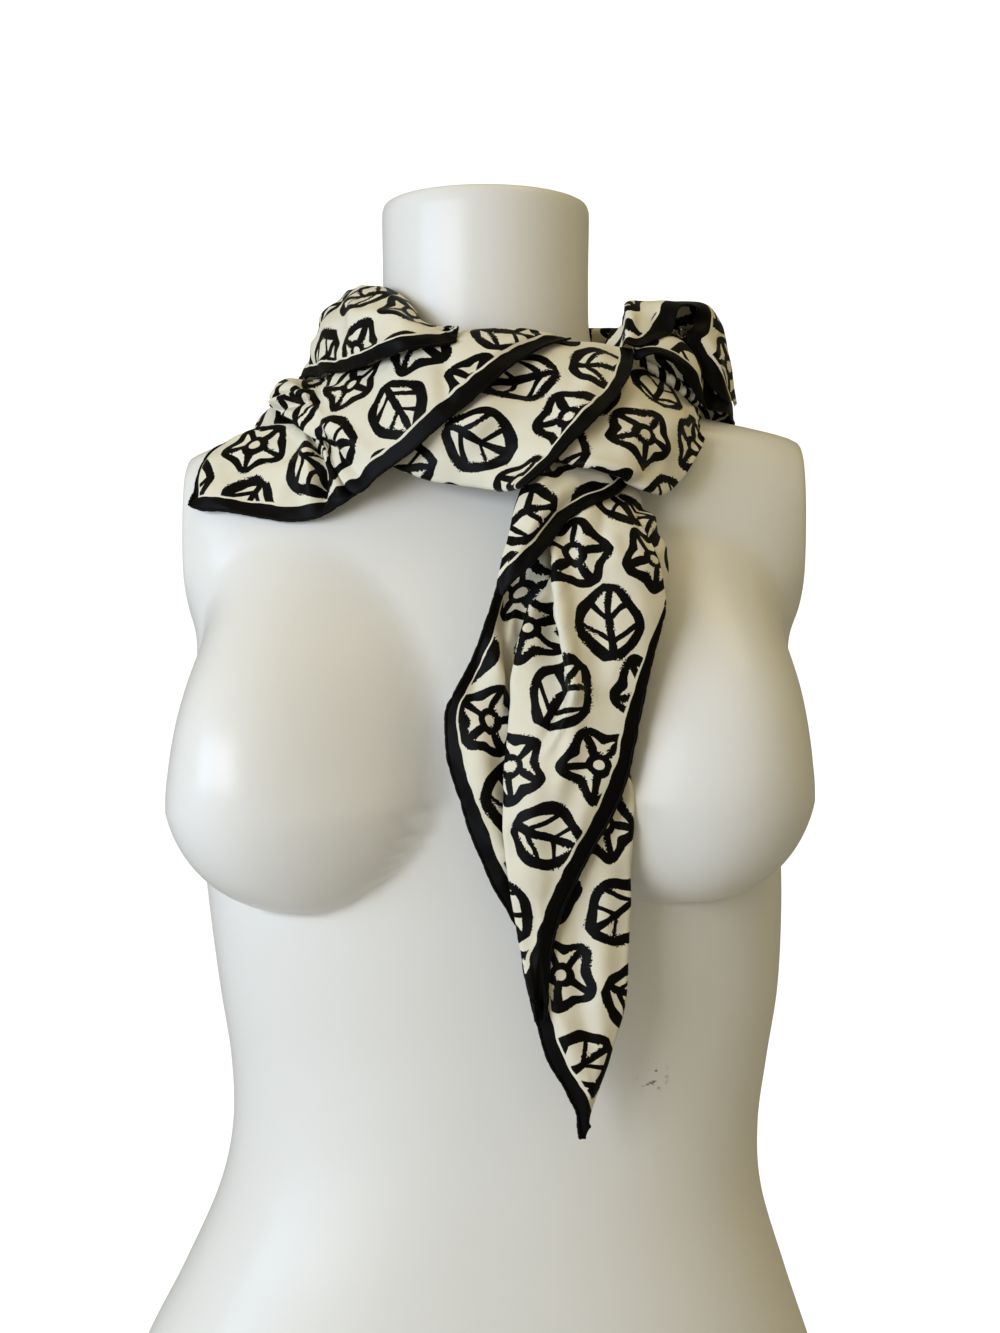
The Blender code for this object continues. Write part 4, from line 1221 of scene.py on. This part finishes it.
FLOOR_HALF = 6.0  # half its width, in metres
FLOOR_FRONT, FLOOR_BACK = -3.0, 3.0
FLOOR_BEND, FLOOR_BEND_STEPS = 1.5, 12  # radius of the curve up to its wall
FLOOR_BEND_START = 0.1  # angle of its first point past the level floor
FLOOR_TOP = 6.0
FLOOR_GREY = (0.50, 0.50, 0.50)
FLOOR_GLOW = 0.95  # keeps the floor white in the picture, with no glow of its own on the object
# x, y, z, size, power, colour
LIGHTS = (
    (-1.36, -1.95, 0.78, 1.0, 24.2, (0.87, 0.91, 1.0)),
    (-2.06, -1.19, 0.78, 1.0, 23.6, (0.54, 0.71, 1.0)),
    (0.88, -0.51, 2.63, 1.0, 7.0, (1.0, 0.80, 0.40)),
)
AIM = (0.0, 0.0, 0.45)
ROOM_LIGHT = (0.41, 0.363, 0.242)  # what the room gives the object
ROOM_SEEN = (0.97, 0.97, 0.97)  # and its pale walls, past the floor


def make_floor():
    """A pale floor that curves up far behind the object."""
    bend = [(FLOOR_BACK + FLOOR_BEND * math.sin(a), FLOOR_BEND - FLOOR_BEND * math.cos(a))
            for a in np.linspace(FLOOR_BEND_START, math.pi / 2, FLOOR_BEND_STEPS)]
    line = [(FLOOR_FRONT, 0.0), (FLOOR_BACK, 0.0), *bend, (FLOOR_BACK + FLOOR_BEND, FLOOR_TOP)]
    points = [(x, y, z) for y, z in line for x in (-FLOOR_HALF, FLOOR_HALF)]
    floor = make_object("floor", points, quads(len(line), 2))
    pale = bpy.data.materials.new("pale_floor")
    n = Nodes(pale)
    seen = n.add("LightPath", "Is Camera Ray", {})
    n.give(n.shader, {
        "Base Color": FLOOR_GREY,
        "Roughness": 0.9,
        "Emission Color": (1, 1, 1),
        "Emission Strength": seen * FLOOR_GLOW,
    })
    floor.data.materials.append(pale)


def make_lights():
    """Three soft lamps, the room's own light and the plain view of colours."""
    for k, (x, y, z, size, power, colour) in enumerate(LIGHTS):
        light = bpy.data.lights.new(f"soft_{k}", "AREA")
        light.size, light.energy, light.color = size, power, colour
        holder = bpy.data.objects.new(f"soft_{k}", light)
        holder.location = (x, y, z)
        holder.rotation_mode = "QUATERNION"
        holder.rotation_quaternion = (Vector(AIM) - Vector((x, y, z))).to_track_quat("-Z", "Y")
        bpy.context.scene.collection.objects.link(holder)
    world = bpy.data.worlds.new("studio")
    n = Nodes(world, "Background")
    n.give(n.shader, {"Color": n.mix(n.add("LightPath", "Is Camera Ray", {}), ROOM_LIGHT, ROOM_SEEN)})
    bpy.context.scene.world = world
    bpy.context.scene.view_settings.view_transform = "Standard"


def make_camera():
    data = bpy.data.cameras.new("camera")
    data.sensor_width = SENSOR
    data.lens = CAMERA_PIXELS / max(PICTURE) * SENSOR
    data.clip_start = 0.01
    camera = bpy.data.objects.new("camera", data)
    camera.location = Vector(CAMERA_PLACE) * MM
    camera.rotation_euler = (math.pi / 2, 0, 0)
    bpy.context.scene.collection.objects.link(camera)
    bpy.context.scene.camera = camera


def main():
    make_camera()
    make_lights()
    make_floor()
    form = make_form()
    form.data.materials.append(form_material())
    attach(form, "root")
    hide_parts("dress_form")
    cad_trees = {name: tree_of(node) for name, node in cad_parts.items()}
    fine_trees = {"dress_form": tree_of(form)}
    silk = silk_material()
    pieces = {"dress_form": form}
    for seed, stretch in enumerate(STRETCHES, 1):
        name = stretch[0]
        piece = pieces[name] = make_stretch(stretch, seed, cad_trees, fine_trees, silk)
        fine_trees[name] = tree_of(piece)
        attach(piece, "root")
        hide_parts(name)


main()
